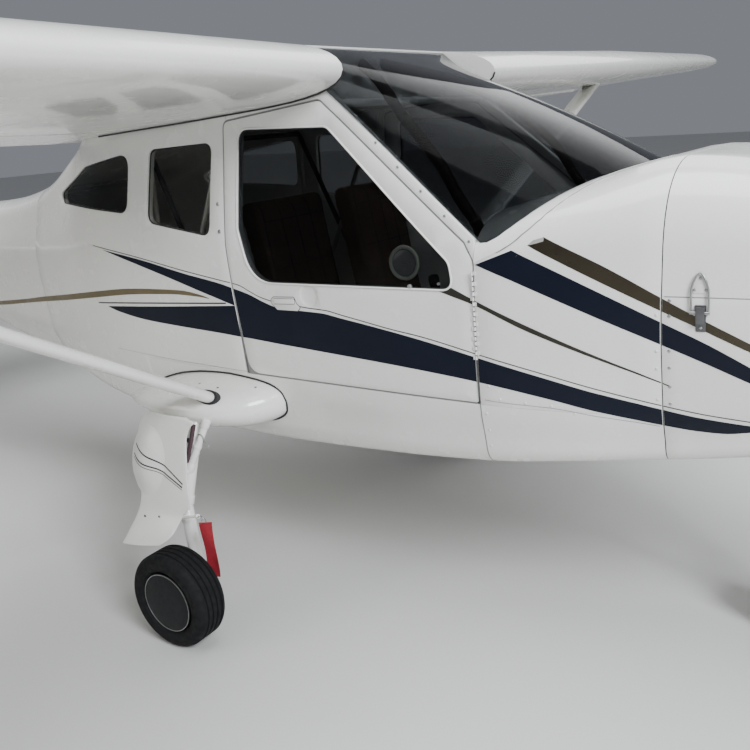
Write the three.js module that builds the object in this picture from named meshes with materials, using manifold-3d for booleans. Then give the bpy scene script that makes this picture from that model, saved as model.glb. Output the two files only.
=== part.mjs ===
// High-wing light aircraft on a retractable tricycle gear, standing on its wheels.
// Lengths are in millimetres. X is measured forward from the main axle, Y to port, Z up from the ground.
// The whole aircraft stands MAIN_AXLE_X further forward, so that its origin is the middle of its box.
import * as THREE from 'three';
import { mergeVertices } from 'three/addons/utils/BufferGeometryUtils.js';
import Module from 'manifold-3d';

const wasm = await Module();
wasm.setup();

// Overall driving dimensions
const MAIN_AXLE_X = 650;
const NOSE_TIP_X = 2500;
const TAIL_END_X = -3800;
const SEMI_SPAN = 4350;
const FIN_TOP_Z = 2440;
const GAP = 0.3;
const MOVING_GAP = 6;
const CONTROL_GAP = 8;

// Fuselage walls
const CABIN_WALL = 30;
const BOOM_WALL = 12;
const COWL_WALL = 10;
const SEAM_Z = 828;
const DOOR_HINGE_X = 934;
const FIREWALL_X = 1431;
const BELLY_REAR_X = -500;
const COWL_SPLIT_Z = 1169;
const REAR_CABIN_FRONT_X = 20;
const FIREWALL_THICKNESS = 10;
const FIREWALL_SETBACK = 2;

// Wing, measured at its root beside the cabin
const WING_LE_X = 505;
const WING_LE_Z = 1793;
const WING_CHORD = 1400;
const WING_THICKNESS = 0.135;
const WING_TIP_THICKNESS = 0.1;
const WING_CAMBER = 0.035;
const WING_INCIDENCE = THREE.MathUtils.degToRad(6.2);
const WING_DIHEDRAL = THREE.MathUtils.degToRad(1.4);
const WING_ROOT_Y = 502;
const WING_CENTER_HALF = 498;
const WING_CENTER_FRONT_X = 280;
const TIP_LENGTH = 330;
const FLAP_SPAN = [60, 1890];
const AILERON_SPAN = [1910, 3400];
const WING_HINGE_FRACTION = 0.735;

// Wheels and legs
const MAIN_TRACK = 1920;
const MAIN_TYRE = { radius: 167, width: 124, rimRadius: 104 };
const NOSE_TYRE = { radius: 150, width: 100, rimRadius: 82 };
const TYRE_SEGMENTS = 36;
const NOSE_AXLE_X = 1790;
const STEER_AXIS_X = 1840;
const AXLE_RADIUS = 14;
const BORE_RADIUS = 15.5;

// Propeller
const PROP_Z = 1150;
const PROP_RADIUS = 850;
const SPINNER_RADIUS = 128;
const SPINNER_BACK_X = 2246;

// Tail
const RUDDER_HINGE_X = -3440;
const RUDDER_BOTTOM_Z = 1400;
const RUDDER_NOSE_RADIUS = 29;
const STABILATOR_PIVOT = { x: -3296, z: 1205 };
const STABILATOR_CHORD = 720;
const STABILATOR_ROOT_Y = 128;
const TORQUE_TUBE_RADIUS = 22;

const PAINT = { color: 0xf1efe8, roughness: 0.25, metalness: 0.0 };
const BLACK_RUBBER = { color: 0x17171a, roughness: 0.85, metalness: 0.0 };
const DARK_METAL = { color: 0x2b2c30, roughness: 0.5, metalness: 0.6 };
const BARE_METAL = { color: 0xa9abad, roughness: 0.4, metalness: 0.9 };
const GLASS = { color: 0x4c5258, roughness: 0.08, metalness: 0.0, transparent: true, opacity: 0.45 };
const SEAT_CLOTH = { color: 0x4a3b33, roughness: 0.9, metalness: 0.0 };
const TRIM = { color: 0x35363a, roughness: 0.8, metalness: 0.0 };

const aircraft = new THREE.Group();
aircraft.position.x = MAIN_AXLE_X;

// Solids, and the meshes made of them

function solid(geometry) {
  const bare = geometry.clone();
  bare.deleteAttribute('normal');
  bare.deleteAttribute('uv');
  const merged = mergeVertices(bare, 1e-4);
  return new wasm.Manifold(new wasm.Mesh({
    numProp: 3,
    vertProperties: new Float32Array(merged.attributes.position.array),
    triVerts: new Uint32Array(merged.index.array),
  }));
}

function addPiece(name, body, finish) {
  const mesh = body.getMesh();
  const geometry = new THREE.BufferGeometry();
  geometry.setAttribute('position', new THREE.BufferAttribute(new Float32Array(mesh.vertProperties), 3));
  geometry.setIndex(new THREE.BufferAttribute(new Uint32Array(mesh.triVerts), 1));
  geometry.computeVertexNormals();
  const piece = new THREE.Mesh(geometry, new THREE.MeshStandardMaterial(finish));
  piece.name = name;
  aircraft.add(piece);
}

// The port piece is made first, and the starboard one is its mirror image
function addPair(name, body, finish) {
  addPiece(`${name}_left`, body, finish);
  addPiece(`${name}_right`, body.mirror([0, 1, 0]), finish);
}

function joined(bodies) {
  return bodies.reduce((sum, body) => sum.add(body));
}

function both(body) {
  return body.add(body.mirror([0, 1, 0]));
}

// Triangles that close a ring by zipping its two halves together, from the first and last points inwards
function capTriangles(count) {
  const triangles = [];
  let i = 0;
  let j = count - 1;
  while (j - i >= 2) {
    triangles.push([i, i + 1, j]);
    i += 1;
    if (j - i >= 2) {
      triangles.push([i, j - 1, j]);
      j -= 1;
    }
  }
  return triangles;
}

// A closed body through rings of the same number of points; the two halves of a ring get mirrored diagonals
function loft(rings) {
  const count = rings[0].length;
  const points = rings.flat();
  const index = [];
  for (let i = 0; i < rings.length - 1; i++) {
    for (let j = 0; j < count; j++) {
      const a = i * count + j;
      const b = i * count + ((j + 1) % count);
      if (j < count / 2 - 1) {
        index.push(a, b, a + count, b, b + count, a + count);
      } else {
        index.push(a, b, b + count, a, b + count, a + count);
      }
    }
  }
  const last = (rings.length - 1) * count;
  for (const [a, b, c] of capTriangles(count)) {
    index.push(a, c, b, last + a, last + b, last + c);
  }
  let volume = 0;
  for (let i = 0; i < index.length; i += 3) {
    volume += points[index[i]].dot(points[index[i + 1]].clone().cross(points[index[i + 2]]));
  }
  if (volume < 0) {
    index.reverse();
  }
  const geometry = new THREE.BufferGeometry().setFromPoints(points);
  geometry.setIndex(index);
  return solid(geometry);
}

// A side view outline of [x, z] points, extruded across the aircraft from y0 to y1
function sideCut(outline, y0, y1) {
  const shape = new THREE.Shape(outline.map(([x, z]) => new THREE.Vector2(x, z)));
  const geometry = new THREE.ExtrudeGeometry(shape, { depth: y1 - y0, bevelEnabled: false });
  geometry.rotateX(Math.PI / 2);
  geometry.translate(0, y1, 0);
  return solid(geometry);
}

function block(x0, x1, y0, y1, z0, z1) {
  const geometry = new THREE.BoxGeometry(x1 - x0, y1 - y0, z1 - z0);
  geometry.translate((x0 + x1) / 2, (y0 + y1) / 2, (z0 + z1) / 2);
  return solid(geometry);
}

// Everything of the fuselage between two stations and two heights
const BEYOND = 800;
const SKY = 3000;
function slab(x0, x1, z0 = 0, z1 = SKY) {
  return block(x0, x1, -BEYOND, BEYOND, z0, z1);
}

// A round bar between two points
function bar(from, to, radius, sides = 12) {
  const start = new THREE.Vector3(...from);
  const end = new THREE.Vector3(...to);
  const geometry = new THREE.CylinderGeometry(radius, radius, start.distanceTo(end), sides);
  const along = end.clone().sub(start).normalize();
  geometry.applyQuaternion(new THREE.Quaternion().setFromUnitVectors(new THREE.Vector3(0, 1, 0), along));
  geometry.translate(...start.add(end).multiplyScalar(0.5).toArray());
  return solid(geometry);
}

// Points of an outline with its corners rounded, from [x, z, corner radius] rows
function rounded(rows, steps = 4) {
  const outline = [];
  rows.forEach(([x, z, radius], i) => {
    const corner = new THREE.Vector2(x, z);
    const before = new THREE.Vector2(...rows[(i + rows.length - 1) % rows.length]).sub(corner);
    const after = new THREE.Vector2(...rows[(i + 1) % rows.length]).sub(corner);
    if (!radius) {
      outline.push([x, z]);
      return;
    }
    const half = Math.acos(before.dot(after) / before.length() / after.length()) / 2;
    const reach = Math.min(radius / Math.tan(half), before.length() / 2, after.length() / 2);
    const start = corner.clone().add(before.setLength(reach));
    const end = corner.clone().add(after.setLength(reach));
    const curve = new THREE.QuadraticBezierCurve(start, corner, end);
    curve.getPoints(steps).forEach((p) => outline.push([p.x, p.y]));
  });
  return outline;
}

// An outline moved outwards by a distance, or inwards by a negative one
function grown(rows, distance) {
  const turn = Math.sign(THREE.ShapeUtils.area(rows.map(([x, z]) => new THREE.Vector2(x, z))));
  return rows.map(([x, z, radius], i) => {
    const [px, pz] = rows[(i + rows.length - 1) % rows.length];
    const [nx, nz] = rows[(i + 1) % rows.length];
    const a = new THREE.Vector2(x - px, z - pz).normalize();
    const b = new THREE.Vector2(nx - x, nz - z).normalize();
    const normalA = new THREE.Vector2(a.y, -a.x).multiplyScalar(turn);
    const normalB = new THREE.Vector2(b.y, -b.x).multiplyScalar(turn);
    const miter = normalA.clone().add(normalB).normalize();
    miter.multiplyScalar(distance / miter.dot(normalA));
    return [x + miter.x, z + miter.y, radius ? Math.max(radius + distance, 1) : 0];
  });
}

// Fuselage
// Each section is symmetric. Its half is a flat bottom, a round lower corner, a side in three flats that
// meet at the seam and the belt, and a round upper corner up to a flat top.
// Columns: x, z of bottom, low, seam, belt, shoulder, top, then half widths at the same six heights
const CABIN_SECTIONS = [
  [934, 612, 700, 828, 1175, 1660, 1800, 405, 502, 532, 549, 499, 440],
  [600, 588, 690, 828, 1175, 1660, 1800, 425, 510, 540, 551, 501, 440],
  [100, 565, 680, 828, 1175, 1660, 1800, 425, 510, 541, 551, 501, 440],
  [-300, 562, 680, 828, 1175, 1655, 1800, 415, 500, 532, 544, 495, 430],
  [-640, 580, 690, 828, 1175, 1640, 1800, 390, 475, 508, 524, 477, 400],
  [-890, 608, 712, 832, 1175, 1530, 1640, 355, 440, 474, 494, 430, 280],
  [-1250, 672, 765, 865, 1172, 1372, 1478, 270, 360, 395, 415, 372, 190],
];
const FORWARD_SECTIONS = [
  [1431, 668, 738, 838, 1165, 1300, 1505, 320, 402, 437, 485, 486, 250],
  [1180, 640, 720, 832, 1170, 1285, 1445, 370, 466, 502, 525, 523, 280],
  [934, 612, 700, 828, 1175, 1255, 1375, 405, 502, 532, 549, 548, 300],
];
const COWL_SECTIONS = [
  [2232, 985, 1010, 1040, 1150, 1215, 1285, 90, 140, 168, 205, 195, 85],
  [2215, 958, 988, 1025, 1150, 1225, 1308, 105, 163, 195, 236, 226, 100],
  [2130, 880, 925, 985, 1152, 1250, 1368, 160, 228, 268, 312, 302, 140],
  [1950, 790, 855, 935, 1156, 1272, 1425, 235, 308, 352, 396, 388, 190],
  [1700, 714, 785, 880, 1162, 1290, 1475, 290, 366, 408, 452, 450, 230],
  [1434, 668, 738, 838, 1165, 1300, 1505, 320, 402, 437, 485, 486, 250],
];
const BOOM_SECTIONS = [
  [-1250, 672, 765, 865, 1172, 1372, 1478, 270, 360, 395, 415, 372, 190],
  [-1700, 752, 830, 915, 1165, 1315, 1402, 205, 278, 306, 322, 287, 140],
  [-2400, 880, 940, 1000, 1165, 1280, 1358, 135, 186, 205, 214, 190, 90],
  [-3100, 1010, 1050, 1090, 1185, 1272, 1335, 62, 92, 105, 111, 99, 48],
  [-3500, 1085, 1112, 1138, 1202, 1270, 1320, 27, 44, 51, 55, 49, 24],
];
const CORNER_STEPS = 4;

function bend(from, control, to) {
  const curve = new THREE.QuadraticBezierCurve(
    new THREE.Vector2(...from), new THREE.Vector2(...control), new THREE.Vector2(...to));
  return curve.getPoints(CORNER_STEPS).map((p) => [p.x, p.y]);
}

function fuselageRing(row, inset) {
  const [x, bottomZ, lowZ, seamZ, beltZ, shoulderZ, topZ, ...widths] = row;
  const [bottom, low, seam, belt, shoulder, top] = widths.map((w) => w - inset);
  const under = bottomZ + inset;
  const over = topZ - inset;
  const half = [
    ...bend([bottom, under], [low - 0.12 * (low - bottom), under], [low, lowZ]),
    [seam, seamZ],
    [belt, beltZ],
    ...bend([shoulder, shoulderZ], [shoulder - 0.06 * (shoulder - top), over - 6], [top, over]),
  ];
  const points = half.map(([y, z]) => new THREE.Vector3(x, y, z));
  return points.concat(half.reverse().map(([y, z]) => new THREE.Vector3(x, -y, z)));
}

// The first and last rings may reach on past their ends, or be moved in by a negative reach
function fuselageBody(sections, inset, firstReach = 0, lastReach = 0) {
  const rings = sections.map((row) => fuselageRing(row, inset));
  const outwards = Math.sign(sections[0][0] - sections[sections.length - 1][0]);
  const moved = (ring, reach) => ring.map((p) => p.clone().setX(p.x + reach));
  const first = moved(rings[0], outwards * firstReach);
  const last = moved(rings[rings.length - 1], -outwards * lastReach);
  rings.splice(0, firstReach > 0 ? 0 : 1, first);
  rings.splice(rings.length - (lastReach > 0 ? 0 : 1), 1, last);
  return loft(rings);
}

const OPEN_END = 40;
const cabinOuter = fuselageBody(CABIN_SECTIONS, 0);
const forwardOuter = fuselageBody(FORWARD_SECTIONS, 0);
const cabinInner = fuselageBody(CABIN_SECTIONS, CABIN_WALL, OPEN_END, OPEN_END);
const forwardInner = fuselageBody(FORWARD_SECTIONS, CABIN_WALL, OPEN_END, OPEN_END);
const cabinShell = cabinOuter.subtract(cabinInner);
const forwardShell = forwardOuter.subtract(forwardInner);
const fuselageOutside = joined([
  fuselageBody(CABIN_SECTIONS, -GAP),
  fuselageBody(FORWARD_SECTIONS, -GAP),
  fuselageBody(BOOM_SECTIONS, -GAP),
]);

// Wing section

const AIRFOIL_STEPS = 11;
const SMALL_STEPS = 7;

// Height of the surface over the chord line, as parts of the chord; side is 1 above and -1 below
function airfoilHeight(t, thickness, camber, side) {
  const half = 5 * thickness * (0.2969 * Math.sqrt(t) - 0.126 * t - 0.3516 * t ** 2 + 0.2843 * t ** 3
    - 0.1015 * t ** 4);
  const peak = 0.4;
  const line = t < peak
    ? camber / peak ** 2 * (2 * peak * t - t * t)
    : camber / (1 - peak) ** 2 * (1 - 2 * peak + 2 * peak * t - t * t);
  return line + side * half;
}

// Ring of [distance behind the leading edge, height], from the upper trailing edge round the nose
function airfoil(chord, thickness, camber, steps = SMALL_STEPS) {
  const ring = [];
  for (let i = -steps; i <= steps; i++) {
    const t = (1 - Math.cos(Math.abs(i) / steps * Math.PI)) / 2;
    const side = i < 0 ? 1 : -1;
    ring.push([t * chord, airfoilHeight(t, thickness, camber, side) * chord]);
  }
  return ring;
}

// The root section in the side view, turned nose up by the incidence
function inWingPlace([back, up]) {
  const c = Math.cos(WING_INCIDENCE);
  const s = Math.sin(WING_INCIDENCE);
  return [WING_LE_X - back * c + up * s, WING_LE_Z - back * s + up * c];
}

const rootRing = airfoil(WING_CHORD, WING_THICKNESS, WING_CAMBER, AIRFOIL_STEPS).map(inWingPlace);
const lowerRoot = rootRing.slice(AIRFOIL_STEPS);
const aboveWingUnderside = sideCut(
  [...lowerRoot.map(([x, z]) => [x, z - GAP]), [TAIL_END_X / 4, 2100], [WING_LE_X + 40, 2100],
    [WING_LE_X + 40, WING_LE_Z - GAP]], -BEYOND, BEYOND);

// Doors and side windows in the side view; columns: x, z, corner radius
const DOOR_OUTLINE = [
  [928, 834, 8], [928, 1250, 0], [900, 1302, 0], [404, 1714, 30], [10, 1672, 25], [2, 1280, 0],
  [45, 834, 55],
];
const DOOR_WINDOW_OUTLINE = [
  [862, 1168, 40], [854, 1246, 20], [428, 1638, 25], [70, 1648, 25], [57, 1330, 60], [108, 1156, 130],
];
const QUARTER_WINDOW_OUTLINE = [
  [-48, 1612, 22], [-72, 1302, 25], [-392, 1346, 25], [-362, 1600, 22],
];
const REAR_WINDOW_OUTLINE = [
  [-474, 1594, 18], [-500, 1376, 30], [-985, 1408, 60], [-1000, 1448, 30], [-780, 1548, 40],
];
const PANE_INSET = 9;
const PANE_THICKNESS = 6;
const SIDE_REACH = [200, BEYOND];

const doorCut = sideCut(rounded(DOOR_OUTLINE), ...SIDE_REACH);
const doorHole = sideCut(rounded(grown(DOOR_OUTLINE, MOVING_GAP)), ...SIDE_REACH);
const paneSheet = fuselageBody(CABIN_SECTIONS, PANE_INSET)
  .subtract(fuselageBody(CABIN_SECTIONS, PANE_INSET + PANE_THICKNESS, OPEN_END, OPEN_END));

function windowHole(outline) {
  return sideCut(rounded(outline), ...SIDE_REACH);
}

function windowPane(outline) {
  const cut = sideCut(rounded(grown(outline, -GAP)), ...SIDE_REACH);
  return paneSheet.intersect(cut).subtract(aboveWingUnderside);
}

function addDoors() {
  const door = cabinShell.intersect(doorCut).subtract(windowHole(DOOR_WINDOW_OUTLINE));
  addPair('door', door, PAINT);
  addPair('door_window', windowPane(DOOR_WINDOW_OUTLINE), GLASS);
}

// The hoop round the windscreen: two pillars, the rails over the doors and the tube across the roof
const PILLAR_FRONT = [[449, 1727], [933.6, 1313]];
const FRAME_REAR_X = REAR_CABIN_FRONT_X + 2;
const FRAME_OUTLINE = [
  [DOOR_HINGE_X - 0.4, 1240], PILLAR_FRONT[1], PILLAR_FRONT[0], [340, 1820], [FRAME_REAR_X, 1820],
  [FRAME_REAR_X, 1600], [300, 1600],
];
const ROOF_TUBE = { x: 457, z: 1702, reach: 478, radius: 12 };

function windscreenFrame() {
  const { x, z, reach, radius } = ROOF_TUBE;
  const sides = cabinShell.intersect(both(sideCut(FRAME_OUTLINE, ...SIDE_REACH)))
    .subtract(both(doorHole))
    .subtract(aboveWingUnderside);
  return sides.add(bar([x, -reach, z], [x, reach, z], radius));
}

// Rear cabin: the two sides with their windows, closed behind the wing and under the seam behind the belly
function rearCabin() {
  const frontEdge = slab(REAR_CABIN_FRONT_X, FIREWALL_X);
  const bellyPlace = slab(BELLY_REAR_X - GAP, FIREWALL_X, 0, SEAM_Z + GAP);
  return cabinShell
    .subtract(both(doorHole))
    .subtract(frontEdge)
    .subtract(bellyPlace)
    .subtract(aboveWingUnderside)
    .subtract(both(windowHole(QUARTER_WINDOW_OUTLINE)))
    .subtract(both(windowHole(REAR_WINDOW_OUTLINE)));
}

function belly() {
  return cabinShell.add(forwardShell).intersect(slab(BELLY_REAR_X, NOSE_TIP_X, 0, SEAM_Z));
}

function forwardFuselage() {
  return forwardShell.intersect(slab(DOOR_HINGE_X + GAP, NOSE_TIP_X, SEAM_Z + GAP));
}

const PIPE_HOLE = { z: 900, radius: 60 };

function firewall() {
  const front = FIREWALL_X - FIREWALL_SETBACK;
  const plate = fuselageBody(FORWARD_SECTIONS, CABIN_WALL + GAP)
    .intersect(slab(front - FIREWALL_THICKNESS, front));
  const { z, radius } = PIPE_HOLE;
  return plate.subtract(bar([front - 2 * FIREWALL_THICKNESS, 0, z], [FIREWALL_X, 0, z], radius));
}

// Windscreen: straight rulings from a curve under the deck up past the wing roots to the top of the wing
const GLASS_THICKNESS = 6;
const WINDSCREEN_BASE = { sideX: 986, sideZ: 1279, bulge: 364, rise: 151, halfWidth: 536 };
const WINDSCREEN_TOP = { x: 282, z: 1880, halfWidth: 499 };
const WINDSCREEN_CROWN = 22;
const WINDSCREEN_NARROW_PART = 0.6;
const WINDSCREEN_COLUMNS = 16;
const WINDSCREEN_ROWS = 5;

// s runs from -1 to 1 across the glass and v from 0 at the deck to 1 at the top
function windscreenPoint(s, v, inset) {
  const across = Math.abs(s);
  const { sideX, sideZ, bulge, rise } = WINDSCREEN_BASE;
  const baseX = sideX + bulge * (1 - across ** 3) ** 0.6;
  const baseZ = sideZ + rise * (1 - across ** 2.4);
  const crown = WINDSCREEN_CROWN * Math.sin(Math.PI * v) * (1 - across ** 4);
  const spread = WINDSCREEN_BASE.halfWidth - WINDSCREEN_TOP.halfWidth;
  const halfWidth = WINDSCREEN_TOP.halfWidth + spread * Math.max(0, 1 - v / WINDSCREEN_NARROW_PART);
  const x = baseX + (WINDSCREEN_TOP.x - baseX) * v + crown - inset * 0.65;
  const z = baseZ + (WINDSCREEN_TOP.z - baseZ) * v + crown - inset * 0.76;
  return new THREE.Vector3(x, s * halfWidth, z);
}

function windscreen() {
  const rings = [];
  for (let i = 0; i <= WINDSCREEN_COLUMNS; i++) {
    const s = -Math.cos(i / WINDSCREEN_COLUMNS * Math.PI);
    const outer = [];
    const inner = [];
    for (let j = 0; j <= WINDSCREEN_ROWS; j++) {
      const v = j / WINDSCREEN_ROWS;
      outer.push(windscreenPoint(s, v, 0));
      inner.unshift(windscreenPoint(s, v, GLASS_THICKNESS));
    }
    rings.push([...outer, ...inner]);
  }
  const beforeWing = slab(WING_CENTER_FRONT_X + GAP, NOSE_TIP_X);
  return loft(rings).subtract(fuselageBody(FORWARD_SECTIONS, -GAP)).intersect(beforeWing);
}

// Engine cowl in two halves, with cooling inlets beside the spinner, an outlet, the nose wheel's bay and a
// round hole for the exhaust pipe
const NOSE_HOLES_X = [2150, 2300];
const INLET = { y: 118, z: 1150, radius: 48 };
const SHAFT_HOLE_RADIUS = 62;
const CHIN_INLET = { from: [2080, 0, 985], to: [2300, 0, 1015], radius: 42 };
const WHEEL_BAY = [1660, 2010, -95, 95, 600, 900];
const COWL_OUTLET = [1440, 1560, -190, 190, 600, 720];
const EXHAUST_HOLE = { from: [1740, 150, 793], to: [1560, 150, 568], radius: 34 };

function roundHole({ from, to, radius }) {
  return bar(from, to, radius, 16);
}

function noseHole(y, z, radius) {
  const [from, to] = NOSE_HOLES_X.map((x) => [x, y, z]);
  return bar(from, to, radius, 20);
}

function cowl() {
  const inside = fuselageBody(COWL_SECTIONS, COWL_WALL, -COWL_WALL, OPEN_END);
  const shell = fuselageBody(COWL_SECTIONS, 0).subtract(inside);
  const holes = [
    noseHole(0, PROP_Z, SHAFT_HOLE_RADIUS), both(noseHole(INLET.y, INLET.z, INLET.radius)),
    roundHole(CHIN_INLET), roundHole(EXHAUST_HOLE), block(...WHEEL_BAY), block(...COWL_OUTLET),
  ];
  return holes.reduce((rest, hole) => rest.subtract(hole), shell);
}

function addCowl() {
  const whole = cowl();
  addPiece('cowl_upper', whole.intersect(slab(FIREWALL_X, NOSE_TIP_X, COWL_SPLIT_Z + GAP)), PAINT);
  addPiece('cowl_lower', whole.intersect(slab(FIREWALL_X, NOSE_TIP_X, 0, COWL_SPLIT_Z - GAP)), PAINT);
}

// Engine as one block with its propeller shaft, its mount tubes and its exhaust pipe
const CRANKCASE = [1560, 2060, -265, 265, 1000, 1270];
const GEARBOX = { x: [2050, 2150], radius: 90 };
const SHAFT = { x: [2120, SPINNER_BACK_X - 4], radius: 46 };
const MOUNT_RADIUS = 14;
const MOUNT_TUBES = [
  [[FIREWALL_X + 10, 195, 980], [1600, 150, 1030]], [[FIREWALL_X + 10, 195, 1230], [1600, 150, 1230]],
];
const EXHAUST_RADIUS = 24;
const EXHAUST_PIPES = [
  [[1850, 150, 1050], [1800, 150, 860]], [[1800, 150, 868], [1640, 150, 668]],
];

function engine() {
  const onShaftLine = ({ x, radius }) => bar([x[0], 0, PROP_Z], [x[1], 0, PROP_Z], radius, 20);
  const mounts = MOUNT_TUBES.map(([from, to]) => both(bar(from, to, MOUNT_RADIUS, 8)));
  const exhaust = EXHAUST_PIPES.map(([from, to]) => bar(from, to, EXHAUST_RADIUS));
  return joined([block(...CRANKCASE), onShaftLine(GEARBOX), onShaftLine(SHAFT), ...mounts, ...exhaust]);
}

// Wings, made at zero dihedral with their root at y = 0 and then turned up and set beside the cabin

const WING_SPAN = SEMI_SPAN - WING_ROOT_Y;
const WING_TIP_ROWS = [
  // part of the tip's length, part of the chord
  [0, 1], [0.35, 0.965], [0.62, 0.86], [0.82, 0.7], [0.94, 0.52], [1, 0.34],
];
const TIP_NOSE_RECESS = 0.3;

function wingRing(y, scale, thickness) {
  const chord = WING_CHORD * scale;
  const noseRecess = (1 - scale) * WING_CHORD * TIP_NOSE_RECESS;
  const ring = airfoil(chord, thickness * (0.25 + 0.75 * scale), WING_CAMBER, AIRFOIL_STEPS);
  return ring.map(([back, up]) => {
    const [x, z] = inWingPlace([back + noseRecess, up]);
    return new THREE.Vector3(x, y, z);
  });
}

// The wing is of one thickness as far as the flap reaches and gets thinner from there to the tip
function wingBody() {
  const tipStart = WING_SPAN - TIP_LENGTH;
  const inner = [0, FLAP_SPAN[1]].map((y) => wingRing(y, 1, WING_THICKNESS));
  const tip = WING_TIP_ROWS.map(([part, scale]) => (
    wingRing(tipStart + part * TIP_LENGTH, scale, WING_TIP_THICKNESS)));
  return loft([...inner, ...tip]);
}

const [hingeTop, hingeUnder] = [1, -1].map((side) => (
  airfoilHeight(WING_HINGE_FRACTION, WING_THICKNESS, WING_CAMBER, side) * WING_CHORD));
const HINGE_RADIUS = (hingeTop - hingeUnder) / 2 - 1;
const [HINGE_X, HINGE_Z] = inWingPlace([WING_CHORD * WING_HINGE_FRACTION, (hingeTop + hingeUnder) / 2]);

function behindHinge(y0, y1) {
  return block(TAIL_END_X, HINGE_X, y0, y1, 0, SKY);
}

function hingeRoller(y0, y1, radius) {
  return bar([HINGE_X, y0, HINGE_Z], [HINGE_X, y1, HINGE_Z], radius, 32);
}

function controlSurface(wing, [y0, y1]) {
  return wing.intersect(behindHinge(y0, y1).add(hingeRoller(y0, y1, HINGE_RADIUS)));
}

function controlHole([y0, y1]) {
  const [start, end] = [y0 - MOVING_GAP, y1 + MOVING_GAP];
  return behindHinge(start, end).add(hingeRoller(start, end, HINGE_RADIUS + CONTROL_GAP));
}

function onWing(body) {
  const sideways = WING_ROOT_Y + WING_LE_Z * Math.sin(WING_DIHEDRAL);
  const upwards = WING_LE_Z * (1 - Math.cos(WING_DIHEDRAL));
  return body.rotate([THREE.MathUtils.radToDeg(WING_DIHEDRAL), 0, 0]).translate([0, sideways, upwards]);
}

function addWings() {
  const whole = wingBody();
  const wing = whole.subtract(controlHole(FLAP_SPAN)).subtract(controlHole(AILERON_SPAN));
  addPair('wing', onWing(wing), PAINT);
  addPair('flap', onWing(controlSurface(whole, FLAP_SPAN)), PAINT);
  addPair('aileron', onWing(controlSurface(whole, AILERON_SPAN)), PAINT);
  const center = sideCut(rootRing, -WING_CENTER_HALF, WING_CENTER_HALF)
    .intersect(slab(TAIL_END_X, WING_CENTER_FRONT_X));
  addPiece('wing_center', center, PAINT);
}

// Sponsons that carry the struts and the main legs
const SPONSON_CENTER_Y = 500;
// Columns: x, outer y, half height, centre z
const SPONSON_SECTIONS = [
  [176, 528, 8, 736], [169, 560, 34, 735], [142, 616, 57, 733], [98, 672, 72, 730],
  [30, 722, 80, 730], [-60, 752, 84, 731], [-180, 764, 76, 733], [-300, 744, 56, 735],
  [-400, 702, 34, 728], [-470, 652, 13, 722],
];
const SPONSON_SIDES = 20;

function sponson() {
  const rings = SPONSON_SECTIONS.map(([x, outerY, halfHeight, z]) => {
    const ring = [];
    for (let i = 0; i < SPONSON_SIDES; i++) {
      const angle = i / SPONSON_SIDES * 2 * Math.PI;
      const reach = Math.sign(Math.cos(angle)) * Math.abs(Math.cos(angle)) ** 0.8;
      const y = SPONSON_CENTER_Y + (outerY - SPONSON_CENTER_Y) * reach;
      ring.push(new THREE.Vector3(x, y, z + halfHeight * Math.sin(angle)));
    }
    return ring;
  });
  const portSide = block(TAIL_END_X, NOSE_TIP_X, SIDE_REACH[0], SEMI_SPAN, 0, SKY);
  return loft(rings).subtract(fuselageOutside).intersect(portSide);
}

// Lift struts with a streamlined section
const STRUT = { foot: [-22, 690, 778], head: [180, 2540, 1790], chord: 100, thickness: 40 };

function strut(sponsonBody, wingOnPlace) {
  const foot = new THREE.Vector3(...STRUT.foot);
  const head = new THREE.Vector3(...STRUT.head);
  const along = head.clone().sub(foot).normalize();
  const forward = new THREE.Vector3(1, 0, 0).addScaledVector(along, -along.x).normalize();
  const up = forward.clone().cross(along).normalize();
  const section = airfoil(STRUT.chord, STRUT.thickness / STRUT.chord, 0);
  const rings = [foot, head].map((end) => section.map(([back, rise]) => (
    end.clone().addScaledVector(forward, STRUT.chord * 0.4 - back).addScaledVector(up, rise))));
  return loft(rings).subtract(sponsonBody).subtract(wingOnPlace.translate([0, 0, -GAP]));
}

// Undercarriage

function tyre({ radius, width, rimRadius }) {
  const half = width / 2;
  const wall = radius - rimRadius;
  const outerSide = [
    [rimRadius, half * 0.62], [rimRadius + 8, half * 0.86], [rimRadius + 0.4 * wall, half],
    [rimRadius + 0.72 * wall, half * 0.96], [radius - 9, half * 0.78], [radius, half * 0.42],
  ];
  const innerSide = outerSide.map(([r, y]) => [r, -y]);
  const profile = [...innerSide, ...outerSide.reverse(), innerSide[0]];
  return solid(new THREE.LatheGeometry(profile.map(([r, y]) => new THREE.Vector2(r, y)), TYRE_SEGMENTS)
    .rotateY(Math.PI / TYRE_SEGMENTS));
}

function rim({ width, rimRadius }) {
  const half = width / 2;
  const edge = rimRadius - GAP;
  const profile = [
    [BORE_RADIUS, -half * 0.5], [edge, -half * 0.6], [edge, half * 0.6], [edge - 8, half * 0.6],
    [edge - 12, half * 0.42], [48, half * 0.36], [40, half * 0.62], [BORE_RADIUS, half * 0.62],
    [BORE_RADIUS, -half * 0.5],
  ];
  return solid(new THREE.LatheGeometry(profile.map(([r, y]) => new THREE.Vector2(r, y)), TYRE_SEGMENTS)
    .rotateY(Math.PI / TYRE_SEGMENTS));
}

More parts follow.
